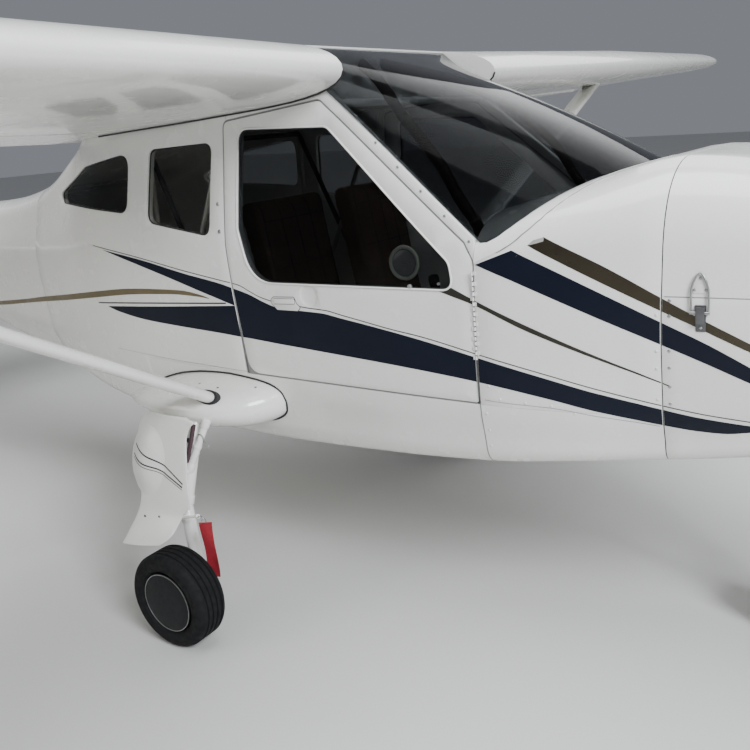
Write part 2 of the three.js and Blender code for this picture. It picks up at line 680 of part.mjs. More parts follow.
// The main wheels have a shallow cover over their outer side, which hides the end of the axle
function coveredRim({ width, rimRadius }) {
  const half = width / 2;
  const edge = rimRadius - GAP;
  const boreEnd = half * 0.6;
  const profile = [
    [0, boreEnd], [BORE_RADIUS, boreEnd], [BORE_RADIUS, -half * 0.5], [edge, -half * 0.6],
    [edge, half * 0.6], [edge, half * 0.84], [edge - 5, half * 0.9], [rimRadius * 0.55, half * 0.94],
    [0, half * 0.95], [0, boreEnd],
  ];
  return solid(new THREE.LatheGeometry(profile.map(([r, y]) => new THREE.Vector2(r, y)), TYRE_SEGMENTS)
    .rotateY(Math.PI / TYRE_SEGMENTS));
}

// The wheel stands on a flat of its tyre, so its centre is a little lower than its radius
function axleZ({ radius }) {
  return radius * Math.cos(Math.PI / TYRE_SEGMENTS);
}

const MAIN_AXLE_Z = axleZ(MAIN_TYRE);
const NOSE_AXLE_Z = axleZ(NOSE_TYRE);

const MAIN_LEG = {
  top: [-70, 712, 720], knee: [-64, 818, 430], foot: [10, 862, MAIN_AXLE_Z],
  upperRadius: 25, lowerRadius: 23, axleY: [846, MAIN_TRACK / 2 + 30],
  brace: [[-4, 726, 716], [-58, 790, 540]], braceRadius: 15,
};

function mainLeg(sponsonBody) {
  const { top, knee, foot, upperRadius, lowerRadius, axleY, brace, braceRadius } = MAIN_LEG;
  const axle = bar([0, axleY[0], MAIN_AXLE_Z], [0, axleY[1], MAIN_AXLE_Z], AXLE_RADIUS, 16);
  const upper = bar(top, knee, upperRadius, 16);
  const lower = bar(knee, foot, lowerRadius, 16);
  const tubes = joined([upper, lower, axle, bar(...brace, braceRadius)]);
  return tubes.subtract(sponsonBody.translate([0, 0, -GAP]));
}

// The panel that closes the leg's bay in flight hangs outboard of the leg
// Columns: z, how much lower the rear edge is, rear x, front x, y
const PANEL_ROWS = [
  [738, 0, -205, -36, 778], [722, 0, -245, -4, 780], [704, 0, -255, -20, 784], [660, 0, -270, -34, 793],
  [560, 0, -286, -24, 817], [520, 0, -278, -18, 827], [495, 0, -251, -9, 834], [445, 0, -238, 1, 846],
  [412, 0, -240, -30, 856],
  [378, 5, -242, -38, 882], [354, 18, -250, -42, 912], [342, 36, -246, -52, 950],
];
const PANEL_THICKNESS = 8;
const PANEL_OFFSET = 22;

function gearPanel() {
  const rings = PANEL_ROWS.map(([z, drop, rear, front, y]) => {
    const outer = [[0, -6], [0.25, 0], [0.5, 3], [0.75, 0], [1, -6]].map(([part, bow]) => (
      new THREE.Vector3(rear + (front - rear) * part, y + PANEL_OFFSET + bow, z - drop * (1 - part))));
    const inner = outer.map((p) => p.clone().setY(p.y - PANEL_THICKNESS));
    return [...outer, ...inner.reverse()];
  });
  return loft(rings);
}

const NOSE_LEG = {
  tubeZ: [402, 960], radius: 30, collarZ: [640, 700], collarRadius: 42, braceZ: [690, 800],
};
const NOSE_BRACE_RADIUS = 16;

function noseLeg() {
  const { tubeZ, radius, collarZ, collarRadius, braceZ } = NOSE_LEG;
  const upright = ([z0, z1], r) => bar([STEER_AXIS_X, 0, z0], [STEER_AXIS_X, 0, z1], r, 16);
  const brace = bar([STEER_AXIS_X, 0, braceZ[0]], [FIREWALL_X + 2, 0, braceZ[1]], NOSE_BRACE_RADIUS, 8);
  return joined([upright(tubeZ, radius), upright(collarZ, collarRadius), brace]);
}

const FORK = {
  bladeY: 71, bladeRadius: 14, bladeLean: 12, crownZ: 334, crownHalf: 12, crownReach: [-20, 28],
  stemTopZ: 396, stemRadius: 24, bossHalf: 15, bossRadius: 24,
};

function noseFork() {
  const { bladeY, bladeRadius, bladeLean, crownZ, crownHalf, crownReach, bossHalf, bossRadius } = FORK;
  const side = bladeY + bladeRadius;
  const stem = bar([STEER_AXIS_X, 0, crownZ], [STEER_AXIS_X, 0, FORK.stemTopZ], FORK.stemRadius, 16);
  const crown = block(NOSE_AXLE_X + crownReach[0], STEER_AXIS_X + crownReach[1], -side, side,
    crownZ - crownHalf, crownZ + crownHalf);
  const boss = [bladeY - bossHalf, bladeY + bossHalf].map((y) => [NOSE_AXLE_X, y, NOSE_AXLE_Z]);
  const blade = joined([
    bar([NOSE_AXLE_X + bladeLean, bladeY, crownZ], [NOSE_AXLE_X, bladeY, NOSE_AXLE_Z], bladeRadius, 10),
    bar(...boss, bossRadius, 12),
  ]);
  const halfAxle = bar([NOSE_AXLE_X, 0, NOSE_AXLE_Z], [NOSE_AXLE_X, bladeY, NOSE_AXLE_Z], AXLE_RADIUS, 16);
  return joined([stem, crown, both(blade), both(halfAxle)]);
}

// Propeller and spinner
// Columns: radius, chord, thickness as part of the chord, blade angle in degrees
const BLADE_SECTIONS = [
  [60, 70, 0.6, 62], [150, 95, 0.3, 50], [300, 130, 0.16, 36], [500, 128, 0.11, 25], [700, 104, 0.09, 18],
  [800, 74, 0.08, 16], [PROP_RADIUS, 34, 0.08, 15],
];

const HUB = { length: 92, radius: 68 };

function propeller() {
  const bladeX = SPINNER_BACK_X + HUB.length / 2;
  const rings = BLADE_SECTIONS.map(([radius, chord, thickness, angle]) => {
    const turn = THREE.MathUtils.degToRad(angle);
    return airfoil(chord, thickness, 0.02).map(([back, up]) => {
      const along = back - chord * 0.4;
      const x = bladeX - along * Math.sin(turn) + up * Math.cos(turn);
      const y = along * Math.cos(turn) + up * Math.sin(turn);
      return new THREE.Vector3(x, y, radius);
    });
  });
  const blade = loft(rings);
  const hub = bar([SPINNER_BACK_X, 0, 0], [SPINNER_BACK_X + HUB.length, 0, 0], HUB.radius, 24);
  return joined([hub, blade, blade.rotate([180, 0, 0])]).translate([0, 0, PROP_Z]);
}

const SPINNER_SETOFF = 3;
const SPINNER_STEPS = 7;
const BLADE_SLOT_HALF = 72;

function spinner(propellerBody) {
  const length = NOSE_TIP_X - SPINNER_BACK_X - SPINNER_SETOFF;
  const profile = [[0, 0], [SPINNER_RADIUS, 0]];
  for (let i = 1; i <= SPINNER_STEPS; i++) {
    const t = i / SPINNER_STEPS;
    profile.push([SPINNER_RADIUS * Math.sqrt(1 - t ** 1.7), length * t]);
  }
  const points = profile.map(([r, h]) => new THREE.Vector2(r, h));
  const cone = solid(new THREE.LatheGeometry(points, 28).rotateZ(-Math.PI / 2))
    .translate([SPINNER_BACK_X + SPINNER_SETOFF, 0, PROP_Z]);
  const slotEnd = SPINNER_BACK_X + HUB.length + 1;
  const bladeSlots = block(SPINNER_BACK_X, slotEnd, -BLADE_SLOT_HALF, BLADE_SLOT_HALF, 0, SKY);
  return cone.subtract(bladeSlots).subtract(propellerBody);
}

// Tail

// Columns: z, leading edge x, trailing edge x, thickness
const FIN_ROWS = [
  [1240, -2610, TAIL_END_X, 92], [1400, -2740, TAIL_END_X, 90],
  [FIN_TOP_Z - 70, -3215, TAIL_END_X + 25, 62], [FIN_TOP_Z - 18, -3270, TAIL_END_X + 45, 50],
  [FIN_TOP_Z, -3320, TAIL_END_X + 80, 26],
];

function finRing(z, leadingX, trailingX, thickness) {
  const chord = leadingX - trailingX;
  const section = airfoil(chord, thickness / chord, 0);
  return section.map(([back, side]) => new THREE.Vector3(leadingX - back, side, z));
}

function finWhole() {
  return loft(FIN_ROWS.map((row) => finRing(...row)));
}

function addFinAndRudder() {
  const whole = finWhole();
  const roller = (z0, radius) => bar([RUDDER_HINGE_X, 0, z0], [RUDDER_HINGE_X, 0, SKY], radius, 24);
  const behind = (z0) => slab(TAIL_END_X, RUDDER_HINGE_X, z0);
  const rudder = whole.intersect(behind(RUDDER_BOTTOM_Z).add(roller(RUDDER_BOTTOM_Z, RUDDER_NOSE_RADIUS)));
  const fin = whole.subtract(behind(0))
    .subtract(roller(0, RUDDER_NOSE_RADIUS + CONTROL_GAP))
    .subtract(fuselageOutside);
  addPiece('fin', fin, PAINT);
  addPiece('rudder', rudder, PAINT);
}

// Columns: distance outboard of the root, part of the chord
const STABILATOR_ROWS = [[0, 1], [1130, 1], [1230, 0.95], [1290, 0.82], [1322, 0.6]];
const STABILATOR_THICKNESS = 0.1;
const STABILATOR_PIVOT_FRACTION = 0.3;
const STABILATOR_TIP_RECESS = 0.6;
const TORQUE_TUBE_OVERLAP = 60;

function stabilator() {
  const { x, z } = STABILATOR_PIVOT;
  const rings = STABILATOR_ROWS.map(([y, scale]) => {
    const chord = STABILATOR_CHORD * scale;
    const recess = (STABILATOR_CHORD - chord) * STABILATOR_TIP_RECESS;
    const leadingX = x + STABILATOR_CHORD * STABILATOR_PIVOT_FRACTION - recess;
    return airfoil(chord, STABILATOR_THICKNESS, 0).map(([back, up]) => (
      new THREE.Vector3(leadingX - back, STABILATOR_ROOT_Y + y, z + up)));
  });
  const reach = STABILATOR_ROOT_Y + TORQUE_TUBE_OVERLAP;
  const torqueTube = bar([x, -reach, z], [x, reach, z], TORQUE_TUBE_RADIUS, 16);
  return both(loft(rings)).add(torqueTube);
}

const SOLID_TAIL_LENGTH = 150;

function tailBoom() {
  const inner = fuselageBody(BOOM_SECTIONS, BOOM_WALL, OPEN_END, -SOLID_TAIL_LENGTH);
  const { x, z } = STABILATOR_PIVOT;
  const tubeHole = bar([x, -BEYOND, z], [x, BEYOND, z], TORQUE_TUBE_RADIUS + MOVING_GAP, 20);
  return fuselageBody(BOOM_SECTIONS, 0, -GAP).subtract(inner).subtract(tubeHole);
}

// Cabin fittings

const FLOOR_BOARD = [-700, 1240, -370, 370, 706, 722];
const SEAT_BOX = [60, 520, 60, 480, 720, 790];
const CONTROL_TUNNEL = [-60, 1230, -60, 60, 720, 800];

function cabinFloor() {
  return joined([block(...FLOOR_BOARD), both(block(...SEAT_BOX)), block(...CONTROL_TUNNEL)]);
}

// One seat in the side view: cushion and back as one soft body
const SEAT_OUTLINE = [
  [600, 792, 20], [630, 905, 40], [190, 890, 20], [75, 1440, 45], [-20, 1415, 45], [90, 792, 30],
];
const SEAT_SIDES = [66, 474];

function seat() {
  return sideCut(rounded(SEAT_OUTLINE), ...SEAT_SIDES);
}

const PANEL_FACE = [955, 985, -470, 470, 1010, 1290];
const PANEL_SHROUD = [880, 985, -470, 470, 1270, 1300];
const PANEL_PEDESTAL = [940, 985, -70, 70, 830, 1020];

function instrumentPanel() {
  return joined([PANEL_FACE, PANEL_SHROUD, PANEL_PEDESTAL].map((sizes) => block(...sizes)));
}

// Port stick: both ends and the radius of each of its bars
const STICK_BARS = [
  [[690, 250, 760], [690, 250, 900], 12], [[690, 250, 900], [640, 250, 1060], 12],
  [[643, 250, 1050], [628, 250, 1150], 19],
];
const STICK_CROSS = [[690, -262, 830], [690, 262, 830], 11];

function controlSticks() {
  const stick = joined(STICK_BARS.map(([from, to, radius]) => bar(from, to, radius, 10)));
  return both(stick).add(bar(...STICK_CROSS, 10));
}

// Tubes of the cabin cage that show through the rear side windows
// Rows: one end, the other end, radius
const CAGE_ROWS = [
  [[-45, 468, 750], [-45, 448, 1640], 13], [[-45, 448, 1640], [-45, -448, 1640], 13],
  [[-45, 468, 750], [-430, 440, 1610], 10], [[-430, 440, 1610], [-430, -440, 1610], 10],
  [[-430, 445, 800], [-45, 448, 1640], 10], [[-430, 445, 800], [-430, 440, 1610], 10],
];

function cageTubes() {
  return joined(CAGE_ROWS.flatMap(([from, to, radius]) => {
    const tube = bar(from, to, radius, 6);
    return [tube, tube.mirror([0, 1, 0])];
  }));
}

// Assembly

addDoors();
addPiece('windscreen_frame', windscreenFrame(), PAINT);
addPiece('rear_cabin', rearCabin(), PAINT);
addPiece('belly_panel', belly(), PAINT);
addPiece('forward_fuselage', forwardFuselage(), PAINT);
addPiece('firewall', firewall(), BARE_METAL);
addPiece('windscreen', windscreen(), GLASS);
addPair('quarter_window', windowPane(QUARTER_WINDOW_OUTLINE), GLASS);
addPair('rear_window', windowPane(REAR_WINDOW_OUTLINE), GLASS);
addPiece('engine', engine(), DARK_METAL);
addCowl();
addWings();
const sponsonBody = sponson();
addPair('sponson', sponsonBody, PAINT);
addPair('strut', strut(sponsonBody, onWing(wingBody())), PAINT);
addPair('main_leg', mainLeg(sponsonBody), PAINT);
addPair('gear_panel', gearPanel(), PAINT);
addPair('main_tyre', tyre(MAIN_TYRE).translate([0, MAIN_TRACK / 2, MAIN_AXLE_Z]), BLACK_RUBBER);
addPair('main_rim', coveredRim(MAIN_TYRE).translate([0, MAIN_TRACK / 2, MAIN_AXLE_Z]), DARK_METAL);
addPiece('nose_leg', noseLeg(), PAINT);
addPiece('nose_fork', noseFork(), PAINT);
addPiece('nose_tyre', tyre(NOSE_TYRE).translate([NOSE_AXLE_X, 0, NOSE_AXLE_Z]), BLACK_RUBBER);
addPiece('nose_rim', rim(NOSE_TYRE).translate([NOSE_AXLE_X, 0, NOSE_AXLE_Z]), DARK_METAL);
const propellerBody = propeller();
addPiece('propeller', propellerBody, TRIM);
addPiece('spinner', spinner(propellerBody), PAINT);
addPiece('tail_boom', tailBoom(), PAINT);
addFinAndRudder();
addPiece('stabilator', stabilator(), PAINT);
addPiece('cabin_floor', cabinFloor(), TRIM);
addPair('seat', seat(), SEAT_CLOTH);
addPiece('instrument_panel', instrumentPanel(), TRIM);
addPiece('control_sticks', controlSticks(), TRIM);
addPiece('cage_tubes', cageTubes(), PAINT);

export default aircraft;
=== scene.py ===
# Looks of the high-wing light aircraft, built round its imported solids.
# Lengths in the tables are in millimetres. X is measured forward from the main axle, Y to port, Z up.
import math

import bmesh
import bpy
import numpy as np
from mathutils import Matrix, Vector
from mathutils.bvhtree import BVHTree


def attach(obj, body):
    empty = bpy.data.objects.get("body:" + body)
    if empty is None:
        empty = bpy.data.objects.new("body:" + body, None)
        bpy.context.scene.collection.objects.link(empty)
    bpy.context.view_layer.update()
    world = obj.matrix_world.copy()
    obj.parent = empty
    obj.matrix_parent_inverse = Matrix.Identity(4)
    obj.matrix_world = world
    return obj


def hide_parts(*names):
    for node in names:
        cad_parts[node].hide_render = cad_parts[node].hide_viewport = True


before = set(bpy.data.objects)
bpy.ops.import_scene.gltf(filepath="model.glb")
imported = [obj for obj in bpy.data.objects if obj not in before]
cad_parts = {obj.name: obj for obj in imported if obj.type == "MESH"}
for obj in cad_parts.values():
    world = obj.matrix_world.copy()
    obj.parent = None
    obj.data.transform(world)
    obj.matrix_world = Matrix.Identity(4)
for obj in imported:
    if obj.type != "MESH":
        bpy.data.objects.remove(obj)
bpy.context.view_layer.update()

MM = 0.001
MAIN_AXLE_X = 650
SIDES = {"left": 1, "right": -1}
FORWARD, TO_PORT, UP = Vector((1, 0, 0)), Vector((0, 1, 0)), Vector((0, 0, 1))


def to_frame(p):
    return Vector(((p[0] + MAIN_AXLE_X) * MM, p[1] * MM, p[2] * MM))


def from_frame(p):
    return Vector((p.x / MM - MAIN_AXLE_X, p.y / MM, p.z / MM))


# Materials
COAT_ROUGHNESS, GRAIN_DEPTH, GLASS_IOR, DULL_SPECULAR = 0.06, 0.002, 1.12, 0.2


def set_inputs(node, values):
    for socket, value in values.items():
        node.inputs[socket].default_value = value


def finish_of(name, color, roughness, metallic=0.0, coat=0.0, grime=0.08, grime_scale=3.0, bump=0.02,
              bump_scale=400.0):
    """A painted or bare surface with uneven colour and roughness and a fine grain."""
    material = bpy.data.materials.new(name)
    material.use_nodes = True
    tree = material.node_tree
    shader = tree.nodes["Principled BSDF"]
    set_inputs(shader, {"Metallic": metallic, "Coat Weight": coat, "Coat Roughness": COAT_ROUGHNESS})
    coordinates = tree.nodes.new("ShaderNodeTexCoord")

    def noise(scale, detail):
        node = tree.nodes.new("ShaderNodeTexNoise")
        set_inputs(node, {"Scale": scale, "Detail": detail})
        tree.links.new(coordinates.outputs["Object"], node.inputs["Vector"])
        return node.outputs["Fac"]

    mix = tree.nodes.new("ShaderNodeMix")
    mix.data_type = "RGBA"
    set_inputs(mix, {"A": (*color, 1), "B": (*[c * (1 - grime) for c in color], 1)})
    tree.links.new(noise(grime_scale, 6), mix.inputs["Factor"])
    tree.links.new(mix.outputs["Result"], shader.inputs["Base Color"])
    rough = tree.nodes.new("ShaderNodeMapRange")
    set_inputs(rough, {"From Min": 0.3, "From Max": 0.7, "To Min": roughness * 0.85,
                       "To Max": min(roughness * 1.25, 1)})
    tree.links.new(noise(grime_scale * 4, 8), rough.inputs["Value"])
    tree.links.new(rough.outputs["Result"], shader.inputs["Roughness"])
    grain = tree.nodes.new("ShaderNodeBump")
    set_inputs(grain, {"Strength": bump, "Distance": GRAIN_DEPTH})
    tree.links.new(noise(bump_scale, 3), grain.inputs["Height"])
    tree.links.new(grain.outputs["Normal"], shader.inputs["Normal"])
    return material


def glass_of(name, color):
    material = finish_of(name, color, 0.03, grime=0.1, bump=0)
    set_inputs(material.node_tree.nodes["Principled BSDF"],
               {"Transmission Weight": 1.0, "IOR": GLASS_IOR, "Specular IOR Level": 1.0})
    return material


WHITE = finish_of("white_paint", (0.86, 0.85, 0.81), 0.24, coat=0.6, grime=0.07, bump=0.012, bump_scale=60)
WHITE_METAL = finish_of("white_enamel", (0.84, 0.83, 0.79), 0.3, coat=0.3, grime=0.12, bump=0.03)
PANEL_WHITE = finish_of("panel_white", (0.80, 0.79, 0.75), 0.35, coat=0.2, grime=0.16, grime_scale=9)
NAVY = finish_of("navy_stripe", (0.0035, 0.006, 0.017), 0.38, grime=0.3, bump=0.01, bump_scale=60)
GOLD = finish_of("bronze_stripe", (0.085, 0.07, 0.048), 0.3, metallic=0.8, grime=0.5, grime_scale=9,
                 bump=0.01)
TAIL_GOLD = finish_of("gold_stripe", (0.25, 0.20, 0.11), 0.34, metallic=0.6, grime=0.4, grime_scale=9,
                      bump=0.01)
DARK_GOLD = finish_of("dark_bronze_stripe", (0.05, 0.045, 0.036), 0.35, metallic=0.6, grime=0.35,
                      grime_scale=25)
DARK_LINE = finish_of("dark_pinstripe", (0.05, 0.045, 0.05), 0.4, grime=0.3)
# Black of the rubber seals and edges; in the gap at the rear edge of the cowl it is painted shade.
SEAL_AND_GAP_SHADE = finish_of("black_seal_and_gap_shade", (0.018, 0.018, 0.02), 0.6, grime=0.3, bump=0.05)
# Grey of the seams and joint lines; along the lower edge of the windscreen band it is painted shade.
SEAM_AND_EDGE_SHADE = finish_of("grey_seam_and_edge_shade", (0.27, 0.27, 0.265), 0.6, grime=0.3)
DOOR_RUBBER = finish_of("door_rubber", (0.27, 0.27, 0.265), 0.7, grime=0.3, bump=0.05)
TINTED = glass_of("tinted_glass", (0.22, 0.23, 0.24))
CLEAR = glass_of("clear_glass", (0.8, 0.8, 0.78))
TYRE = finish_of("black_tyre", (0.011, 0.011, 0.012), 0.78, grime=0.45, grime_scale=14, bump=0.18,
                 bump_scale=260)
RIM = finish_of("dark_rim", (0.012, 0.012, 0.014), 0.42, metallic=0.2, grime=0.35, grime_scale=20)
STEEL = finish_of("worn_steel", (0.48, 0.48, 0.48), 0.34, metallic=0.95, grime=0.3, grime_scale=30, bump=0.05)
DARK_STEEL = finish_of("dark_steel", (0.16, 0.16, 0.165), 0.45, metallic=0.8, grime=0.4, grime_scale=24,
                       bump=0.06)
# Painted highlight: a bright colour that stands in for the glint of light at the front end of the upper gold
# stripe.
PAINTED_HIGHLIGHT = finish_of("painted_highlight", (0.9, 0.88, 0.8), 0.15, metallic=0.7, grime=0.1)
BLADE = finish_of("dark_blade", (0.035, 0.035, 0.038), 0.3, coat=0.4, grime=0.3, bump=0.02)
TRIM = finish_of("dark_trim", (0.06, 0.06, 0.065), 0.7, grime=0.35, grime_scale=12, bump=0.2, bump_scale=350)
CARPET = finish_of("cabin_carpet", (0.045, 0.042, 0.042), 0.95, grime=0.4, grime_scale=30, bump=0.6,
                   bump_scale=900)
SEAT = finish_of("brown_leather", (0.16, 0.098, 0.062), 0.5, grime=0.3, grime_scale=16, bump=0.25,
                 bump_scale=420)
PIPING = finish_of("dark_piping", (0.05, 0.035, 0.028), 0.6, grime=0.3, bump=0.2)
LINING = finish_of("grey_lining", (0.42, 0.41, 0.39), 0.8, grime=0.2, grime_scale=12, bump=0.3,
                   bump_scale=500)
VENT = finish_of("vent_green", (0.028, 0.032, 0.027), 0.35, grime=0.25, bump=0.03)
VENT_FLAP = finish_of("vent_flap", (0.010, 0.011, 0.012), 0.25, coat=0.4, grime=0.25)
CAGE = finish_of("cage_enamel", (0.62, 0.60, 0.55), 0.45, grime=0.25, grime_scale=14, bump=0.04)
BROWN_PAD = finish_of("brown_padding", (0.045, 0.028, 0.022), 0.65, grime=0.3, grime_scale=20, bump=0.3,
                      bump_scale=500)
PADDING = finish_of("black_padding", (0.03, 0.03, 0.031), 0.75, grime=0.3, grime_scale=20, bump=0.35,
                    bump_scale=600)
HOSE = finish_of("brake_hose", (0.07, 0.035, 0.045), 0.6, grime=0.3, grime_scale=40, bump=0.3, bump_scale=700)
DIAL = finish_of("dial_face", (0.012, 0.012, 0.013), 0.3, coat=0.8, grime=0.2)
RED = finish_of("red_ribbon", (0.34, 0.012, 0.025), 0.7, grime=0.3, grime_scale=60, bump=0.5, bump_scale=1500)
ENGINE = finish_of("engine_grey", (0.11, 0.11, 0.12), 0.5, metallic=0.5, grime=0.5, grime_scale=12, bump=0.1)

for dull in (NAVY, TYRE, RIM, VENT, VENT_FLAP, BROWN_PAD):
    set_inputs(dull.node_tree.nodes["Principled BSDF"], {"Specular IOR Level": DULL_SPECULAR})


# Meshes
def linked(name, data):
    obj = bpy.data.objects.new(name, data)
    bpy.context.scene.collection.objects.link(obj)
    return obj


def evaluated(obj):
    graph = bpy.context.evaluated_depsgraph_get()
    return bpy.data.meshes.new_from_object(obj.evaluated_get(graph))


def modified(mesh, kind, **settings):
    """The mesh as one modifier with these settings leaves it."""
    obj = linked("work", mesh)
    modifier = obj.modifiers.new("work", kind)
    for setting, value in settings.items():
        setattr(modifier, setting, value)
    result = evaluated(obj)
    bpy.data.objects.remove(obj)
    return result


def tidy(mesh, angle):
    """Outward normals, and smooth shading but for edges sharper than the angle."""
    bm = bmesh.new()
    bm.from_mesh(mesh)
    bmesh.ops.remove_doubles(bm, verts=bm.verts, dist=2e-6)
    bmesh.ops.dissolve_degenerate(bm, edges=bm.edges, dist=1e-6)
    bmesh.ops.recalc_face_normals(bm, faces=bm.faces)
    limit = math.radians(angle)
    for face in bm.faces:
        face.smooth = True
    for edge in bm.edges:
        edge.smooth = len(edge.link_faces) == 2 and edge.calc_face_angle(0) < limit
    bm.to_mesh(mesh)
    bm.free()


def place(mesh, name, material, body="airframe", replaces=(), slot=None, angle=38, bevel=0):
    """A piece of one material that rides on a body and may take the place of solids of the frame."""
    if bevel:
        mesh = modified(mesh, "BEVEL", width=bevel * MM, segments=2, angle_limit=math.radians(40))
    mesh.name = name
    mesh.materials.clear()
    mesh.materials.append(material)
    tidy(mesh, angle)
    obj = linked(name, mesh)
    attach(obj, body)
    if replaces:
        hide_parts(*replaces)
    return obj


def new_mesh(points, faces):
    mesh = bpy.data.meshes.new("part")
    mesh.from_pydata([to_frame(p) for p in points], [], faces)
    bm = bmesh.new()
    bm.from_mesh(mesh)
    bmesh.ops.recalc_face_normals(bm, faces=bm.faces)
    bm.to_mesh(mesh)
    bm.free()
    return mesh


def together(*meshes):
    """One mesh of several, left as they are."""
    bm = bmesh.new()
    for mesh in meshes:
        bm.from_mesh(mesh)
    mesh = bpy.data.meshes.new("part")
    bm.to_mesh(mesh)
    bm.free()
    return mesh


def mirrored(mesh):
    copy = mesh.copy()
    copy.transform(Matrix.Diagonal((1, -1, 1, 1)))
    copy.flip_normals()
    return copy


def both_halves(mesh):
    return together(mesh, mirrored(mesh))


def pair(shape, name, material, part="airframe", node=None, slot=None, **edges):
    """A piece on each side: a mesh and its mirror image, or what a function of the side makes."""
    pieces = []
    for side_name, side in SIDES.items():
        if callable(shape):
            mesh = shape(side)
        else:
            mesh = shape if side > 0 else mirrored(shape)
        body = part if part == "airframe" else f"{side_name}_{part}"
        replaces = [f"{node}_{side_name}"] if node else ()
        pieces.append(place(mesh, f"{name}_{side_name}", material, body, replaces, slot, **edges))
    return pieces


def carved(mesh, away=(), keep=None):
    """The mesh with some solids taken away and only what lies in another one kept."""
    obj = linked("carved", mesh)
    tools = []
    for cutter, operation in [(m, "DIFFERENCE") for m in away] + ([(keep, "INTERSECT")] if keep else []):
        tool = linked("tool", cutter)
        tools.append(tool)
        cut = obj.modifiers.new("cut", "BOOLEAN")
        cut.operation = operation
        cut.solver = "EXACT"
        cut.object = tool
    result = evaluated(obj)
    for o in [obj, *tools]:
        bpy.data.objects.remove(o)
    return result


def loft(rings, joined=False):
    """A skin over rings of the same number of points; its ends are closed, or meet where it is joined."""
    count = len(rings[0])
    points = [p for ring in rings for p in ring]
    faces = []
    for i in range(len(rings) if joined else len(rings) - 1):
        a, b = i * count, (i + 1) % len(rings) * count
        for j in range(count):
            k = (j + 1) % count
            faces.append((a + j, a + k, b + k, b + j))
    if not joined:
        last = (len(rings) - 1) * count
        faces.append(tuple(range(count))[::-1])
        faces.append(tuple(range(last, last + count)))
    return new_mesh(points, faces)


def prism(outline, y0, y1):
    return loft([[(x, y, z) for x, z in outline] for y in (y0, y1)])


def block(x0, x1, y0, y1, z0, z1):
    return prism([(x0, z0), (x1, z0), (x1, z1), (x0, z1)], y0, y1)


def slab(x0, x1, z0=400, z1=2200):
    """A block that is wider than the fuselage, and by its default heights deeper too."""
    return block(x0, x1, -800, 800, z0, z1)


def turns(count):
    return [2 * math.pi * k / count for k in range(count)]


def across(start, end):
    """Two directions square to a line and to each other."""
    along = (Vector(end) - Vector(start)).normalized()
    side = along.cross(UP if abs(along.z) < 0.9 else FORWARD).normalized()
    return side, along.cross(side)


def circle(centre, a, b, radius, sides):
    return [Vector(centre) + (a * math.cos(t) + b * math.sin(t)) * radius for t in turns(sides)]


def bar(start, end, radius, sides=24, end_radius=None):
    a, b = across(start, end)
    ends = ((start, radius), (end, radius if end_radius is None else end_radius))
    return loft([circle(centre, a, b, r, sides) for centre, r in ends])


def tube_along(path, radius, sides=10, joined=False):
    """A round tube through the points of a path, whose last point meets the first where it is joined."""
    path = [Vector(p) for p in path]
    last = len(path) - 1
    rings, a = [], None
    for i, p in enumerate(path):
        before = path[i - 1] if i or joined else p
        after = path[i + 1] if i < last else path[0] if joined else p
        along = (after - before).normalized()
        a = across(before, after)[0] if a is None else (a - along * a.dot(along)).normalized()
        rings.append(circle(p, a, along.cross(a), radius, sides))
    return loft(rings, joined)


def turned(profile, at, normal, sides=32):
    """A body turned about a normal at a point, from a closed profile of (radius, height)."""
    a, b = across((0, 0, 0), normal)
    return loft([[Vector(at) + (a * math.cos(t) + b * math.sin(t)) * radius + normal * height
                  for radius, height in profile] for t in turns(sides)], joined=True)


def dome(at, normal, radius, height, sides=12):
    """The head of a rivet or screw."""
    a, b = across((0, 0, 0), normal)
    return loft([circle(Vector(at) + normal * height * rise, a, b, radius * share, sides)
                 for share, rise in ((1, -0.4), (1, 0.25), (0.86, 0.65), (0.55, 0.93), (0.2, 1))])


def smooth_rows(rows):
    """A function of the first column that passes smoothly through table rows, without overshoot."""
    table = np.array(sorted(rows), float)
    knots, values = table[:, 0], table[:, 1:]
    steps = np.diff(knots)[:, None]
    slopes = np.diff(values, axis=0) / steps
    tangents = np.zeros_like(values)
    tangents[0], tangents[-1] = slopes[0], slopes[-1]
    for i in range(1, len(knots) - 1):
        a, b = slopes[i - 1], slopes[i]
        same = a * b > 0
        tangents[i] = np.where(same, 2 * a * b / np.where(same, a + b, 1), 0)

    def at(x):
        i = int(np.clip(np.searchsorted(knots, x) - 1, 0, len(knots) - 2))
        h = knots[i + 1] - knots[i]
        t = (x - knots[i]) / h
        return (values[i] * (2 * t**3 - 3 * t**2 + 1) + tangents[i] * h * (t**3 - 2 * t**2 + t)
                + values[i + 1] * (3 * t**2 - 2 * t**3) + tangents[i + 1] * h * (t**3 - t**2))

    return at


def curve_points(a, control, b, steps):
    a, control, b = Vector(a), Vector(control), Vector(b)
    return [tuple(a * (1 - t) ** 2 + control * 2 * t * (1 - t) + b * t * t)
            for t in (k / steps for k in range(steps + 1))]


def rounded(rows, steps=8):
    """Points of an outline with its corners rounded, from (x, z, corner radius) rows."""
    outline = []
    for i, (x, z, radius) in enumerate(rows):
        if not radius:
            outline.append((x, z))
            continue
        corner = Vector((x, z))
        before = Vector(rows[i - 1][:2]) - corner
        after = Vector(rows[(i + 1) % len(rows)][:2]) - corner
        reach = min(radius / math.tan(before.angle(after) / 2), before.length / 2, after.length / 2)
        outline += curve_points(corner + before.normalized() * reach, corner,
                                corner + after.normalized() * reach, steps)
    return outline


